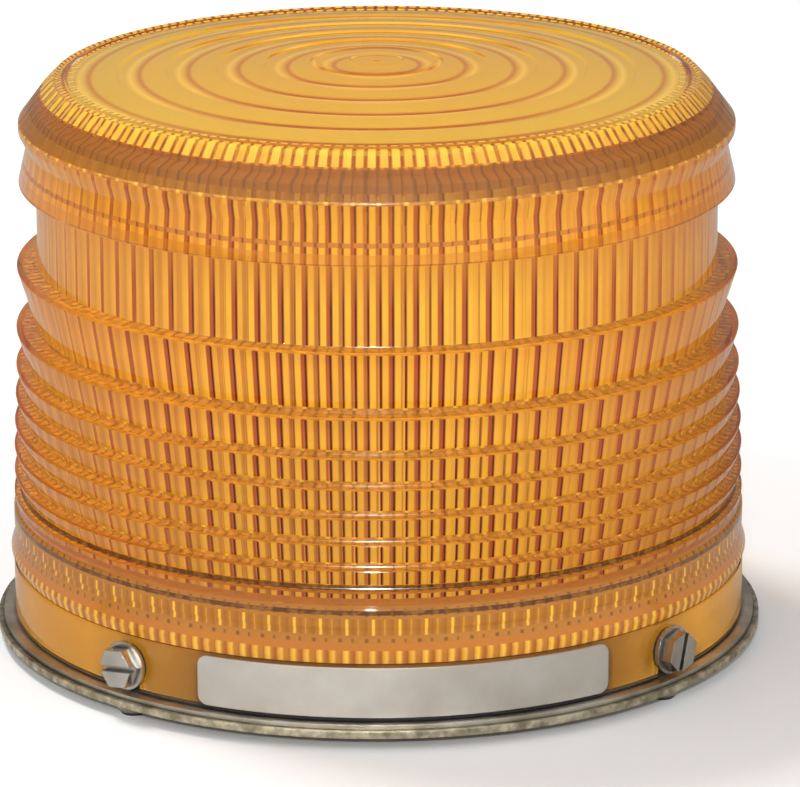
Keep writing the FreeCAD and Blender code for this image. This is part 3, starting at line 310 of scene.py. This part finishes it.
def closed_ring_mesh(name, rings, columns):
    """The whole wall as one closed band: outer foot, over the top, back to the inner foot."""
    low = [i for i, ring in enumerate(rings) if ring[0] < HUB + 0.01]
    over = turned(name, rings, columns)
    mesh = bmesh.new()
    mesh.from_mesh(over.data)
    mesh.verts.ensure_lookup_table()
    caps = [face for face in mesh.faces if len(face.verts) > 4]
    bmesh.ops.delete(mesh, geom=caps, context="FACES_ONLY")
    first, last = low[0] * columns, low[1] * columns
    bridge = [face for face in mesh.faces
              if any(v.index // columns == low[0] for v in face.verts)
              and any(v.index // columns == low[1] for v in face.verts)]
    bmesh.ops.delete(mesh, geom=bridge, context="FACES_ONLY")
    mesh.verts.ensure_lookup_table()
    mesh.faces.new([mesh.verts[first + column] for column in range(columns)])
    mesh.faces.new([mesh.verts[last + column] for column in range(columns)][::-1])
    foot = (len(rings) - 1) * columns
    for column in range(columns):
        after = (column + 1) % columns
        mesh.faces.new([mesh.verts[column], mesh.verts[foot + column], mesh.verts[foot + after],
                        mesh.verts[after]])
    mesh.verts.index_update()
    for face in mesh.faces:
        face.material_index = int(all(v.index >= last for v in face.verts))
    bmesh.ops.recalc_face_normals(mesh, faces=mesh.faces)
    mesh.to_mesh(over.data)
    mesh.free()
    over.data.shade_smooth()
    over.data.set_sharp_from_angle(angle=math.radians(SHARP))
    return over


lens = closed_ring_mesh("lens_moulding", rings, COLUMNS)
print(len(rings), "rings,", len(lens.data.polygons), "faces")

# %% [markdown]
# ## Amber polycarbonate
#
# The lens is polycarbonate of index 1.585, coloured in the mass and moulded in a polished tool. The
# outer skin is polished and clear, with a faint noise in its roughness, and the colour sits in the
# depth of the plastic: volume absorption. Shadow rays pass the skin, so the lamps light what lies
# behind it without the noise of a caustic.
#
# Some places on the skin are not clear. Where the steps between the ring zones of the top face the
# eye or turn their back to it, dark lines are painted on them, a painted shade for the light that the
# steps turn away. The ledge over each prism, which the tool leaves matt, is a mottled orange-brown
# band with a painted highlight, one bright dot for each rib, in its upper half and painted dark pits
# of shade in its lower half. The cone under the shoulder is painted brown, a painted shade, the
# shoulder over it carries bright teeth, and two painted dark lines of shade run round the foot. The
# crests are a little worn, so they take a wider highlight than the polished faces between them.

# %% Places on the moulding
REACH = 72.0


def coordinates(material):
    """Point, height, distance from the axis as a share of REACH, share of a rib, way outward."""
    place = add(material, "TexCoord")
    axes_of = add(material, "SeparateXYZ", Vector=place.outputs["Object"])
    level = add(material, "CombineXYZ", X=axes_of.outputs["X"], Y=axes_of.outputs["Y"])
    span = add(material, "VectorMath", {"operation": "LENGTH"}, i0=level.outputs["Vector"])
    outward = add(material, "VectorMath", {"operation": "NORMALIZE"}, i0=level.outputs["Vector"])
    angle = maths(material, "ARCTAN2", axes_of.outputs["Y"], axes_of.outputs["X"])
    turns = maths(material, "MULTIPLY", angle, RIBS / (2 * math.pi))
    share = maths(material, "FLOORED_MODULO", turns, 1.0)
    reach = maths(material, "DIVIDE", span.outputs["Value"], REACH * MM)
    return place.outputs["Object"], axes_of.outputs["Z"], reach, share, outward.outputs["Vector"]


# The first colour is the skin's own tint; the second is a painted shade, the dark lines drawn on the
# ring steps of the top.
CLEAR, RING_SHADE = "FFFBEE", "C47236"
LEDGE = "B8782E"
LEDGES = [(height + 0.1, height + 1.35) for radius, height in PRISMS[:-1]] + [(80.0, 80.4)]
CRESTS = [(height - 0.6, height + 0.1) for radius, height in PRISMS]
CRESTS += [(16.5, 17.7), (26.3, 26.8), (97.6, 98.4)]
BROW, CONE, SHOULDER = (110.6, 111.3), (111.3, 117.0), (117.3, 120.1)
# Heights of the two painted lines of shade round the foot.
FOOT_SHADE_LINES = [(30.2, 31.2), (25.3, 26.3)]
TOP_EDGE = 119.9
print(len(LEDGES), "ledges and", len(ZONES), "ring steps")

# %% [markdown]
# The skin's own shader is a glass-like one with the matt places laid over it. Their tones repeat
# with the ribs, because what one sees in them is the ribbed wall behind, broken up. A material that
# asks each point for its height and its share of a rib needs no unwrapping and no picture.

# %% Polished outer skin
POLYCARBONATE = 1.585
LEDGE_COVER, CONE_SHADE_COVER, TEETH_COVER, SHADE_LINE_COVER = 0.75, 0.6, 0.55, 0.9
WORN = 0.08
amber, amber_out = new_material("amber_polycarbonate")
where, height, reach, share, outward = coordinates(amber)
cloud = add(amber, "TexNoise", Vector=where, Scale=60.0, Detail=3.0)
haze = eased(amber, cloud.outputs["Fac"], 0.0, 1.0, 0.02, 0.05)
for low, high in CRESTS:
    crest = between(amber, height, low, high)
    haze = maths(amber, "MAXIMUM", haze, maths(amber, "MULTIPLY", crest, WORN))
ripple = add(amber, "Bump", Strength=0.04, Distance=0.0004, Height=cloud.outputs["Fac"])
ring_shade_stops = [(0.0, CLEAR)]
for radius in sorted(ZONES):
    ring_shade_stops += [((radius - 2.7) / REACH, CLEAR), ((radius - 1.8) / REACH, RING_SHADE),
                   ((radius - 0.3) / REACH, RING_SHADE), ((radius + 0.2) / REACH, CLEAR)]
# Painted shade: the ring lines show on the top only where a step faces the eye or turns its back to
# it.
turned_away = add(amber, "LayerWeight", Blend=0.5, Normal=outward)
facing = eased(amber, turned_away.outputs["Facing"], 0.55, 0.12)
on_top = maths(amber, "GREATER_THAN", height, TOP_EDGE * MM + STAND)
drawn = maths(amber, "MULTIPLY", facing, on_top)
clear = mixed(amber, drawn, linear(CLEAR), bands(amber, reach, ring_shade_stops))
skin = add(amber, "BsdfPrincipled", Base_Color=clear, Roughness=haze, IOR=POLYCARBONATE,
           Transmission_Weight=1.0, Normal=ripple.outputs["Normal"])
on_ledge = between(amber, height, *BROW)
upper_half = on_ledge
for low, high in LEDGES:
    on_ledge = maths(amber, "ADD", on_ledge, between(amber, height, low, high))
    upper_half = maths(amber, "ADD", upper_half, between(amber, height, low + 0.75, high))
# Painted highlight: one bright dot on each rib along the upper half of a ledge and along the brow.
rib_glints = bands(amber, share, [(0.0, LEDGE), (0.38, LEDGE), (0.46, "FFD24A"), (0.54, "FFD24A"),
                            (0.62, LEDGE)])
tooth = bands(amber, share, [(0.0, "8E421C"), (0.08, "F6CC4A"), (0.34, "F8D04C"), (0.42, "8E421C"),
                             (0.52, "A05824"), (0.60, "ECBE46"), (0.84, "ECBE46"), (0.93, "8E421C")])
grit = add(amber, "TexNoise", Vector=where, Scale=700.0, Detail=2.0).outputs["Fac"]
mottle = bands(amber, grit, [(0.40, "7C3E14"), (0.52, LEDGE), (0.62, "DC9C40")])
# Painted shade: dark pits on each rib along the lower half of a ledge.
rib_shade_pits = bands(amber, share, [(0.0, "6E2C10"), (0.12, "C0802E"), (0.38, "C0802E"), (0.48, "7E3A16"),
                            (0.58, "C0802E"), (0.88, "C0802E"), (1.0, "6E2C10")])
lower_tone = mixed(amber, 0.65, mottle, rib_shade_pits)
matt_tone = mixed(amber, upper_half, lower_tone, mixed(amber, 0.45, rib_glints, mottle))
on_cone = between(amber, height, *CONE)
on_teeth = between(amber, height, *SHOULDER)
# Painted shade: the cone under the shoulder is painted brown.
matt_tone = mixed(amber, on_cone, matt_tone, linear("7E4E20"))
matt_tone = mixed(amber, on_teeth, matt_tone, tooth)
cover = maths(amber, "MULTIPLY", on_ledge, LEDGE_COVER)
cover = maths(amber, "ADD", cover, maths(amber, "MULTIPLY", on_cone, CONE_SHADE_COVER))
cover = maths(amber, "ADD", cover, maths(amber, "MULTIPLY", on_teeth, TEETH_COVER))
# Painted shade: two dark lines round the foot.
foot_shade_lines = [between(amber, height, low, high) for low, high in FOOT_SHADE_LINES]
on_shade_line = maths(amber, "ADD", foot_shade_lines[0], foot_shade_lines[1])
matt_tone = mixed(amber, on_shade_line, matt_tone, mixed(amber, 0.25, linear("2E0F06"), mottle))
cover = maths(amber, "MAXIMUM", cover, maths(amber, "MULTIPLY", on_shade_line, SHADE_LINE_COVER))
matt = add(amber, "BsdfPrincipled", Base_Color=matt_tone, Roughness=0.22, IOR=POLYCARBONATE)
dulled = add(amber, "MixShader", i0=cover, i1=skin.outputs["BSDF"], i2=matt.outputs["BSDF"])
passing = add(amber, "BsdfTransparent", Color=linear(CLEAR))
ray = add(amber, "LightPath")
either = add(amber, "MixShader", i0=ray.outputs["Is Shadow Ray"], i1=dulled.outputs["Shader"],
             i2=passing.outputs["BSDF"])
depth = add(amber, "VolumeAbsorption", Color=linear("FFC860"), Density=40.0)
amber.node_tree.links.new(either.outputs["Shader"], amber_out.inputs["Surface"])
amber.node_tree.links.new(depth.outputs["Volume"], amber_out.inputs["Volume"])
print("outer skin", amber.name, "has", len(amber.node_tree.nodes), "nodes")

# %% [markdown]
# The inside face is where the light turns back, and its stripes are painted: painted light on the
# flats of the ribs and grooves and painted shade on their flanks, which gives the bright upright
# stripes with dark lines between them. Looked at along the wall the flanks close up, so the stripes
# fade towards both sides. The wall is amber and scatters, partly back and partly through. Which part
# of a rib a point is on follows from its angle round the axis, ninety ribs to the turn, and each
# height has its own pattern: teeth in the shoulder, a painted dark band of shade under it, stripes,
# short dashes in the belt, and a last row of teeth over the skirt. Below the ledge the wall is
# painted darker towards the front, a painted shade. The ceiling repeats the ring zones of the top
# with a painted dark line of shade and a painted bright line of highlight at each.

# %% Ribbed inside face
inside, inside_out = new_material("ribbed_inside_face")
where, height, reach, share, outward = coordinates(inside)
blotch = add(inside, "TexNoise", Vector=where, Scale=45.0, Detail=4.0).outputs["Fac"]
# Painted light and painted shade: each rib's flats are bright and its flanks dark, two dark lines for
# each rib in the first ramp and one in the next.
LIT_FLAT, MIDDLE, BROWN, FLANK_SHADE = "EACC40", "CC9434", "AE5C28", "581400"
two_lines = bands(inside, share, [
    (0.0, BROWN), (0.015, FLANK_SHADE), (0.075, FLANK_SHADE), (0.105, MIDDLE), (0.135, LIT_FLAT), (0.33, LIT_FLAT),
    (0.385, BROWN), (0.485, BROWN), (0.515, FLANK_SHADE), (0.575, FLANK_SHADE), (0.605, MIDDLE), (0.635, LIT_FLAT),
    (0.83, LIT_FLAT), (0.885, BROWN)])
one_line = bands(inside, share, [
    (0.0, "B0702E"), (0.06, "E2B440"), (0.40, "EEC84A"), (0.70, "E2B440"), (0.94, "B0702E")])
teeth = bands(inside, share, [
    (0.0, "A8602A"), (0.10, "E8BC48"), (0.22, "FADC58"), (0.34, "C88A38"), (0.50, "B0682C"),
    (0.60, "E0B044"), (0.72, "F2CE50"), (0.84, "C88A38")])
# Painted shade: a dark band under the shoulder, also laid as dark rows in the belt and the neck.
shade_band = bands(inside, share, [
    (0.0, "8C6430"), (0.06, "C08A3C"), (0.34, "C89242"), (0.42, "8C6430"), (0.50, "C08A3C"),
    (0.84, "C89242"), (0.94, "8C6430")])
dashes = bands(inside, share, [
    (0.0, "C08A34"), (0.14, "C08A34"), (0.19, "FCDC58"), (0.25, "FCDC58"), (0.30, "C08A34"),
    (0.46, "B07A2E"), (0.60, "C08A34"), (0.65, "DCB044"), (0.70, "C08A34"), (0.92, "B07A2E")])
# Painted shade and painted highlight: a dark line and a bright line at each ring zone of the ceiling.
CEILING_TONE = "D2C04C"
ceiling_stops = [(0.0, CEILING_TONE)]
for radius in ZONES[:0:-1]:
    ceiling_stops += [((radius - 5.6) / REACH, CEILING_TONE), ((radius - 4.8) / REACH, "BC883A"),
                      ((radius - 3.8) / REACH, CEILING_TONE), ((radius - 2.8) / REACH, "EADA6A"),
                      ((radius - 1.6) / REACH, CEILING_TONE)]
ceiling = bands(inside, reach, ceiling_stops)
even = bands(inside, blotch, [(0.35, "DCA834"), (0.65, "E8B63E")])
shaded = bands(inside, blotch, [(0.35, "986A20"), (0.65, "A67628")])
flat_amber = bands(inside, blotch, [(0.35, "D2A63C"), (0.65, "DAB042")])
neck_amber = bands(inside, blotch, [(0.35, "BE8C34"), (0.65, "C8983A")])
print("patterns for one rib in", RIBS)

# %% [markdown]
# The patterns are stacked by height with one mask for each layer. The stripes are strongest in the
# middle of the wall and pale towards the neck, and they turn from two dark lines for each rib to
# one, and then to plain amber, as the wall turns away from the eye.

# %% Heights of the patterns
STRONG, PALE, BROW_FOOT = 88.0, 99.3, 111.0
PASSED = 0.35  # share of the light that goes through the wall
forwards = add(inside, "SeparateXYZ", Vector=where).outputs["Y"]
# Painted shade: below the ledge the wall darkens towards the front.
front_shade_mask = eased(inside, forwards, -0.045, -0.066)
grazing = add(inside, "LayerWeight", Blend=0.5).outputs["Facing"]
along = eased(inside, grazing, 0.055, 0.09)
far_along = eased(inside, grazing, 0.09, 0.17, end=0.8)
softer = eased(inside, grazing, 0.03, 0.06, end=0.45)
stripes = mixed(inside, along, mixed(inside, softer, two_lines, flat_amber), one_line)
stripes = mixed(inside, far_along, stripes, flat_amber)
contrast = eased(inside, height, PALE * MM + STAND, STRONG * MM + STAND, 0.35)
upper = maths(inside, "MULTIPLY", between(inside, height, PALE, BROW_FOOT), 0.8)
pattern = mixed(inside, maths(inside, "MAXIMUM", contrast, upper), neck_amber, stripes)
# The first layer is the skirt's wall with its painted shade towards the front.
layers = [
    (0.0, 26.6, mixed(inside, front_shade_mask, even, shaded)), (14.1, 14.7, linear("7A4420")),
    (14.7, 17.0, teeth), (17.0, 18.6, linear("CC8C38")), (18.6, 27.6, linear("C28C38")),
    (18.8, 19.6, shade_band), (20.3, 24.0, dashes), (24.6, 25.6, shade_band), (27.6, BROW_FOOT, pattern),
    (100.7, 101.7, shade_band), (BROW_FOOT, 114.2, shade_band), (114.2, 117.3, teeth)]
tint = ceiling
for low, high, colour in layers:
    tint = mixed(inside, between(inside, height, low, high), tint, colour)
back = add(inside, "BsdfDiffuse", Color=tint, Roughness=0.4)
through = add(inside, "BsdfTranslucent", Color=tint)
scatter = add(inside, "MixShader", i0=PASSED, i1=back.outputs["BSDF"], i2=through.outputs["BSDF"])
inside.node_tree.links.new(scatter.outputs["Shader"], inside_out.inputs["Surface"])
lens.data.materials.append(amber)
lens.data.materials.append(inside)
print("inside face has", len(inside.node_tree.nodes), "nodes and", len(layers), "layers")

# %% [markdown]
# Each screw passes a U-shaped slot that is open at the skirt's foot, so the lens lifts off once
# the screws are loose. The slots are cut with one Boolean: a round bar and a box under it.

# %% Screw slots
SCREW_ANGLES = (-135, -45, 45, 135)
SCREW_HEIGHT = 8.6
SLOT_HALF, SLOT_FROM, SLOT_TO = 2.65, 60.0, 90.0


def slot_cutter(angle):
    """A U-shaped bar through the skirt at one screw."""
    outline = [(-SLOT_HALF, -2.0), (SLOT_HALF, -2.0)]
    for degrees in range(0, 181, 15):
        turn = math.radians(degrees)
        outline.append((SLOT_HALF * math.cos(turn), SCREW_HEIGHT + SLOT_HALF * math.sin(turn)))
    near = [(SLOT_FROM * MM, y * MM, z * MM + STAND) for y, z in outline]
    far = [(SLOT_TO * MM, y * MM, z * MM + STAND) for y, z in outline]
    count = len(outline)
    faces = [tuple(range(count))[::-1], tuple(range(count, 2 * count))]
    faces += [(i, (i + 1) % count, (i + 1) % count + count, i + count) for i in range(count)]
    cutter = mesh_object("slot_cutter", near + far, faces)
    cutter.data.transform(Matrix.Rotation(math.radians(angle), 4, "Z"))
    return cutter


def apply_modifiers(piece):
    """Replace a piece's mesh by what its modifiers make of it."""
    graph = bpy.context.evaluated_depsgraph_get()
    made = bpy.data.meshes.new_from_object(piece.evaluated_get(graph))
    piece.modifiers.clear()
    piece.data = made


cutters = [slot_cutter(angle) for angle in SCREW_ANGLES]
for cutter in cutters:
    cut = lens.modifiers.new("slot", "BOOLEAN")
    cut.operation = "DIFFERENCE"
    cut.solver = "MANIFOLD"
    cut.object = cutter
before = len(lens.data.polygons)
apply_modifiers(lens)
for cutter in cutters:
    bpy.data.objects.remove(cutter)
lens.data.set_sharp_from_angle(angle=math.radians(SHARP))
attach(lens, "lens")
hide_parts("lens")
print("faces before and after the slots", before, len(lens.data.polygons))

# %% [markdown]
# ## Metals, rubber and paint
#
# The pan is zinc plated and left bright, the plate under it has a yellowish passivation, and the
# screws are nickel plated. All three are metals whose colour and gloss vary in soft patches, finer
# on the yellow plate, over a fine grain. Crevices are painted dark, a painted shade that the shader
# finds by how much of a point's sky is covered, and every edge is rounded in the shading alone, so
# that each one catches a thin bright line.

# %% Metals
# The colour of the painted shade in crevices.
CREVICE_SHADE = "2A241A"


def plated(name, light, dark, rough_low, rough_high, grain=900.0, bump=0.02, patches=90.0):
    """Plated steel: cloudy colour, patchy roughness and a fine grain."""
    material, out = new_material(name)
    place = add(material, "TexCoord")
    patch = add(material, "TexNoise", Vector=place.outputs["Object"], Scale=patches, Detail=4.0)
    fine = add(material, "TexNoise", Vector=place.outputs["Object"], Scale=grain, Detail=2.0)
    tint = bands(material, patch.outputs["Fac"], [(0.35, dark), (0.65, light)])
    rough = eased(material, patch.outputs["Fac"], 0.0, 1.0, rough_low, rough_high)
    # Painted shade: the colour turns dark where little of a point's sky is open.
    crevice = add(material, "AmbientOcclusion", {"samples": 4}, Distance=0.0012)
    open_sky = eased(material, crevice.outputs["AO"], 0.35, 0.85)
    crevice_shaded = mixed(material, open_sky, linear(CREVICE_SHADE), tint)
    edge = add(material, "Bevel", {"samples": 4}, Radius=0.00025)
    relief = add(material, "Bump", Strength=bump, Distance=0.0002, Height=fine.outputs["Fac"],
                 Normal=edge.outputs["Normal"])
    metal = add(material, "BsdfPrincipled", Base_Color=crevice_shaded, Metallic=1.0, Roughness=rough,
                Normal=relief.outputs["Normal"])
    material.node_tree.links.new(metal.outputs["BSDF"], out.inputs["Surface"])
    return material


bright_zinc = plated("bright_zinc_plated_steel", "F2ECE0", "C4BCAC", 0.34, 0.5)
yellow_zinc = plated("yellow_passivated_steel", "F4EAD0", "A8A084", 0.36, 0.52, patches=420.0)
nickel = plated("nickel_plated_steel", "E4E1DA", "B9B5AC", 0.12, 0.28)
plain_aluminium = plated("extruded_aluminium", "C6C8CA", "A9ABAD", 0.3, 0.42)
tinned_wire = plated("tinned_wire", "D2D2CE", "A8A8A4", 0.2, 0.35)
label_metal = plated("anodised_label_aluminium", "F0ECE4", "E4DED4", 0.4, 0.5, 2500.0, 0.01)
print("plated metals made")

# %% [markdown]
# Moulded and painted pieces share one recipe with other numbers: a base colour with a slow
# variation, a roughness, and a fine grain of its own size.

# %% Moulded and painted pieces


def coloured(name, light, dark, roughness, scale=200.0, bump=0.05, ior=1.5, coat=0.0):
    """Moulded, painted or lacquered piece."""
    material, out = new_material(name)
    place = add(material, "TexCoord")
    grain = add(material, "TexNoise", Vector=place.outputs["Object"], Scale=scale, Detail=5.0)
    tint = bands(material, grain.outputs["Fac"], [(0.3, dark), (0.7, light)])
    wear = eased(material, grain.outputs["Fac"], 0.0, 1.0, roughness * 0.85, roughness * 1.15)
    relief = add(material, "Bump", Strength=bump, Distance=0.0003, Height=grain.outputs["Fac"])
    skin = add(material, "BsdfPrincipled", Base_Color=tint, IOR=ior, Coat_Weight=coat, Roughness=wear,
               Normal=relief.outputs["Normal"])
    material.node_tree.links.new(skin.outputs["BSDF"], out.inputs["Surface"])
    return material


rubber = coloured("moulded_rubber", "2A2A2A", "1C1C1C", 0.75, 700.0, 0.15)
laminate = coloured("green_circuit_laminate", "2C6B3C", "1F5530", 0.35, 500.0, 0.08, 1.55)
sleeve = coloured("shrink_sleeve_pvc", "23283A", "1A1E2C", 0.3, 120.0, 0.03)
ferrite = coloured("sintered_ferrite", "3A3B3E", "2A2B2E", 0.6, 900.0, 0.1)
winding = coloured("polyester_winding_tape", "E0B23C", "C89526", 0.32, 250.0, 0.04)
epoxy = coloured("moulded_epoxy", "242424", "1A1A1A", 0.5, 800.0, 0.1)
lacquer = coloured("lacquered_resistor", "C9AE82", "B4976A", 0.35, 400.0, 0.03)
green_nylon = coloured("green_nylon", "3C8B4D", "2E7540", 0.4, 300.0, 0.03)
white_paint = coloured("white_enamel", "F2F1EC", "ECEAE3", 0.28, 30.0, 0.004, coat=0.4)
ceramic = coloured("glazed_ceramic", "EFE9DA", "E6DFCF", 0.25, 60.0, 0.006, coat=0.6)
print("moulded and painted finishes made")

# %% [markdown]
# The flash tube is a borosilicate glass U, thin-walled and clear. With its finish the list is
# complete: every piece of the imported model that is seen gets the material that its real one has.

# %% Tube glass
tube_glass, tube_out = new_material("borosilicate_tube")
BOROSILICATE = 1.47
tube_place = add(tube_glass, "TexCoord")
smear = add(tube_glass, "TexNoise", Vector=tube_place.outputs["Object"], Scale=200.0)
smeared = eased(tube_glass, smear.outputs["Fac"], 0.0, 1.0, 0.0, 0.04)
glass = add(tube_glass, "BsdfPrincipled", Base_Color=linear("F6FAFA"), Roughness=smeared,
            IOR=BOROSILICATE, Transmission_Weight=1.0)
tube_glass.node_tree.links.new(glass.outputs["BSDF"], tube_out.inputs["Surface"])

FINISHES = {
    "base_plate": yellow_zinc, "base_pan": bright_zinc, "plate_rivets": bright_zinc,
    "mounting_nuts": bright_zinc, "weld_nuts": bright_zinc, "board_standoffs": bright_zinc,
    "board_screws": nickel, "reflector_screws": nickel, "transistor_screw": nickel,
    "terminal_screws": nickel, "reflector_posts": bright_zinc, "cable_grommet": rubber,
    "lens_gasket": rubber, "circuit_board": laminate, "storage_capacitor_1": sleeve,
    "storage_capacitor_2": sleeve, "smoothing_capacitors": sleeve, "transformer_core": ferrite,
    "transformer_winding": winding, "heat_sink": plain_aluminium, "power_transistor": epoxy,
    "timing_chip": epoxy, "trigger_transformer": epoxy, "resistors": lacquer,
    "terminal_block": green_nylon, "reflector": white_paint, "tube_socket": ceramic,
    "flash_tube": tube_glass, "tube_caps": nickel, "trigger_wire": tinned_wire,
    "nameplate": label_metal,
}
for number in range(1, 5):
    FINISHES["lens_screw_%d" % number] = nickel
    FINISHES["sealing_washer_%d" % number] = rubber
for node, finish in FINISHES.items():
    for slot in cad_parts[node].material_slots:
        slot.material = finish
print(len(FINISHES), "nodes finished")

# %% [markdown]
# ## Floor, light and camera
#
# The product was shot on white with the main flash near the camera. The floor is white paper,
# painted a little greyer round the beacon, a painted shade there where it also takes the lamps'
# shadow. Far away it turns to plain white for the camera alone, so that no horizon shows in a low
# view, and in mirrors it is darker, as the dim room beyond a small sheet of paper would be.

# %% Floor
HALF = 6.0
GREY_FROM, GREY_TO, WHITE_FROM, WHITE_TO = 0.15, 0.30, 0.5, 1.3
floor_mesh = bpy.data.meshes.new("floor")
corners = [(-HALF, -HALF, 0), (HALF, -HALF, 0), (HALF, HALF, 0), (-HALF, HALF, 0)]
floor_mesh.from_pydata(corners, [], [(0, 1, 2, 3)])
floor = bpy.data.objects.new("floor", floor_mesh)
scene.collection.objects.link(floor)
paper, paper_out = new_material("white_paper_sweep")
spot = add(paper, "TexCoord")
fibre = add(paper, "TexNoise", Vector=spot.outputs["Object"], Scale=40.0)
blank = bands(paper, fibre.outputs["Fac"], [(0.0, "F8F8F8"), (1.0, "FFFFFF")])
away = add(paper, "VectorMath", {"operation": "LENGTH"}, i0=spot.outputs["Object"])
# Painted shade: the paper turns greyer close round the beacon.
near = eased(paper, away.outputs["Value"], GREY_TO, GREY_FROM)
tone = mixed(paper, near, blank, linear("E2E2E2"))
kind = add(paper, "LightPath")
in_mirrors = maths(paper, "SUBTRACT", kind.outputs["Is Glossy Ray"],
                   kind.outputs["Is Transmission Ray"])
lit_paper = add(paper, "BsdfDiffuse", Color=mixed(paper, in_mirrors, tone, linear("A8A6A2")))
distant = eased(paper, away.outputs["Value"], WHITE_FROM, WHITE_TO)
white = add(paper, "Emission", Color=linear("FFFFFF"), Strength=1.0)
horizon = maths(paper, "MULTIPLY", distant, kind.outputs["Is Camera Ray"])
sweep = add(paper, "MixShader", i0=horizon, i1=lit_paper.outputs["BSDF"], i2=white.outputs["Emission"])
paper.node_tree.links.new(sweep.outputs["Shader"], paper_out.inputs["Surface"])
floor_mesh.materials.append(paper)
floor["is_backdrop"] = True
print("floor", 2 * HALF, "m wide")

# %% [markdown]
# The world is white to the eye and through glass, so the picture's ground is plain. To everything
# else it is a soft fill. Mirrors see a room of their own, brighter on the camera's side than
# behind, because metal in an evenly white world looks like grey paint.

# %% World
SOFT_FILL = 0.62
world = bpy.data.worlds.new("studio")
scene.world = world
world.use_nodes = True
world.node_tree.nodes.clear()
sky_out = world.node_tree.nodes.new("ShaderNodeOutputWorld")
sky_ray = add(world, "LightPath")
seen = add(world, "Background", Strength=1.0)
fill = add(world, "Background", Strength=SOFT_FILL)
heading = add(world, "TexCoord")
backwards = add(world, "SeparateXYZ", Vector=heading.outputs["Generated"]).outputs["Y"]
from_front = eased(world, backwards, -1.0, 1.0)
room = bands(world, from_front, [(0.40, 0.7), (0.60, 0.22), (0.85, 0.16), (0.97, 0.30)])
dim = add(world, "Background", Strength=room)
plain = maths(world, "MAXIMUM", sky_ray.outputs["Is Camera Ray"],
              sky_ray.outputs["Is Transmission Ray"])
sky = add(world, "MixShader", i0=plain, i1=fill.outputs["Background"], i2=seen.outputs["Background"])
only_mirrors = add(world, "Math", {"operation": "SUBTRACT", "use_clamp": True},
                   i0=sky_ray.outputs["Is Glossy Ray"], i1=sky_ray.outputs["Is Transmission Ray"])
studio = add(world, "MixShader", i0=only_mirrors.outputs["Value"], i1=sky.outputs["Shader"],
             i2=dim.outputs["Background"])
world.node_tree.links.new(studio.outputs["Shader"], sky_out.inputs["Surface"])
print("world of", len(world.node_tree.nodes), "nodes")

# %% [markdown]
# The key lamp stands near the camera and throws the shadow to the right and back. Large soft boxes
# light the sides without being mirrored. The lamp named glint is the camera's flash as the polished
# crests show it, a short bright point on each ring. It is linked to the lens alone and acts on
# gloss only, so that it brightens nothing else.

# %% Lamps
AIM = Vector((0, 0, 0.06))


def area_lamp(name, place, width, power, mirrored=True):
    """A square soft box that faces the beacon; a lamp that isn't mirrored only lights."""
    lamp = bpy.data.lights.new(name, "AREA")
    lamp.energy = power
    lamp.size = width
    holder = bpy.data.objects.new(name, lamp)
    holder.location = place
    holder.rotation_euler = (AIM - Vector(place)).to_track_quat("-Z", "Y").to_euler()
    holder.visible_glossy = mirrored
    scene.collection.objects.link(holder)
    return holder


area_lamp("key", (-0.163, -1.434, 0.68), 0.04, 10.5)
area_lamp("side", (-0.85, -1.2, 0.5), 0.06, 1.5)
glint = area_lamp("glint", (-0.14, -1.25, 0.98), 0.055, 20.0)
glint.visible_diffuse = False
glint.visible_transmission = False
polished = bpy.data.collections.new("polished_pieces")
polished.objects.link(lens)
glint.light_linking.receiver_collection = polished
area_lamp("right", (1.25, -0.75, 0.6), 1.2, 9.0, False)
area_lamp("left", (-1.4, -0.3, 0.7), 1.2, 6.0, False)
area_lamp("back", (-0.38, 0.42, 1.25), 0.3, 11.0, False)
print(len(bpy.data.lights), "lamps")

# %% [markdown]
# The camera was worked out from the lens's rings: where their left, right and front points lie in
# the picture fixes its distance, height, tilt and focal length together.

# %% Camera
TURN, DISTANCE, HEIGHT = math.radians(-4.3), 1.09104, 0.3700
TILT, PAN, ROLL = math.radians(16.387), math.radians(0.2514), math.radians(-0.1629)
SENSOR, FOCAL_PIXELS, WIDTH_PIXELS = 36.0, 5245.6, 800
forward = Vector((math.sin(PAN) * math.cos(TILT), math.cos(PAN) * math.cos(TILT), -math.sin(TILT)))
right = forward.cross(Vector((0, 0, 1))).normalized()
up = right.cross(forward)
right, up = right * math.cos(ROLL) + up * math.sin(ROLL), up * math.cos(ROLL) - right * math.sin(ROLL)
axes = Matrix((right, up, -forward)).transposed().to_4x4()
camera_data = bpy.data.cameras.new("camera")
camera_data.sensor_width = SENSOR
camera_data.lens = SENSOR * FOCAL_PIXELS / WIDTH_PIXELS
camera = bpy.data.objects.new("camera", camera_data)
camera.matrix_world = (Matrix.Rotation(TURN, 4, "Z")
                       @ Matrix.Translation((0, -DISTANCE, HEIGHT + STAND)) @ axes)
scene.collection.objects.link(camera)
scene.camera = camera
scene.view_settings.view_transform = "Standard"
print("camera at", [round(v, 4) for v in camera.matrix_world.translation])

# %% [markdown]
# Last, the box of everything shown is measured and printed. The visual model has to stay within
# the imported model's box, since a shape made for the eye must not grow past the solid that other
# parts will be fitted to.

# %% Size
low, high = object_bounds()
print("visual box", [round(v * 1000, 2) for v in high - low])
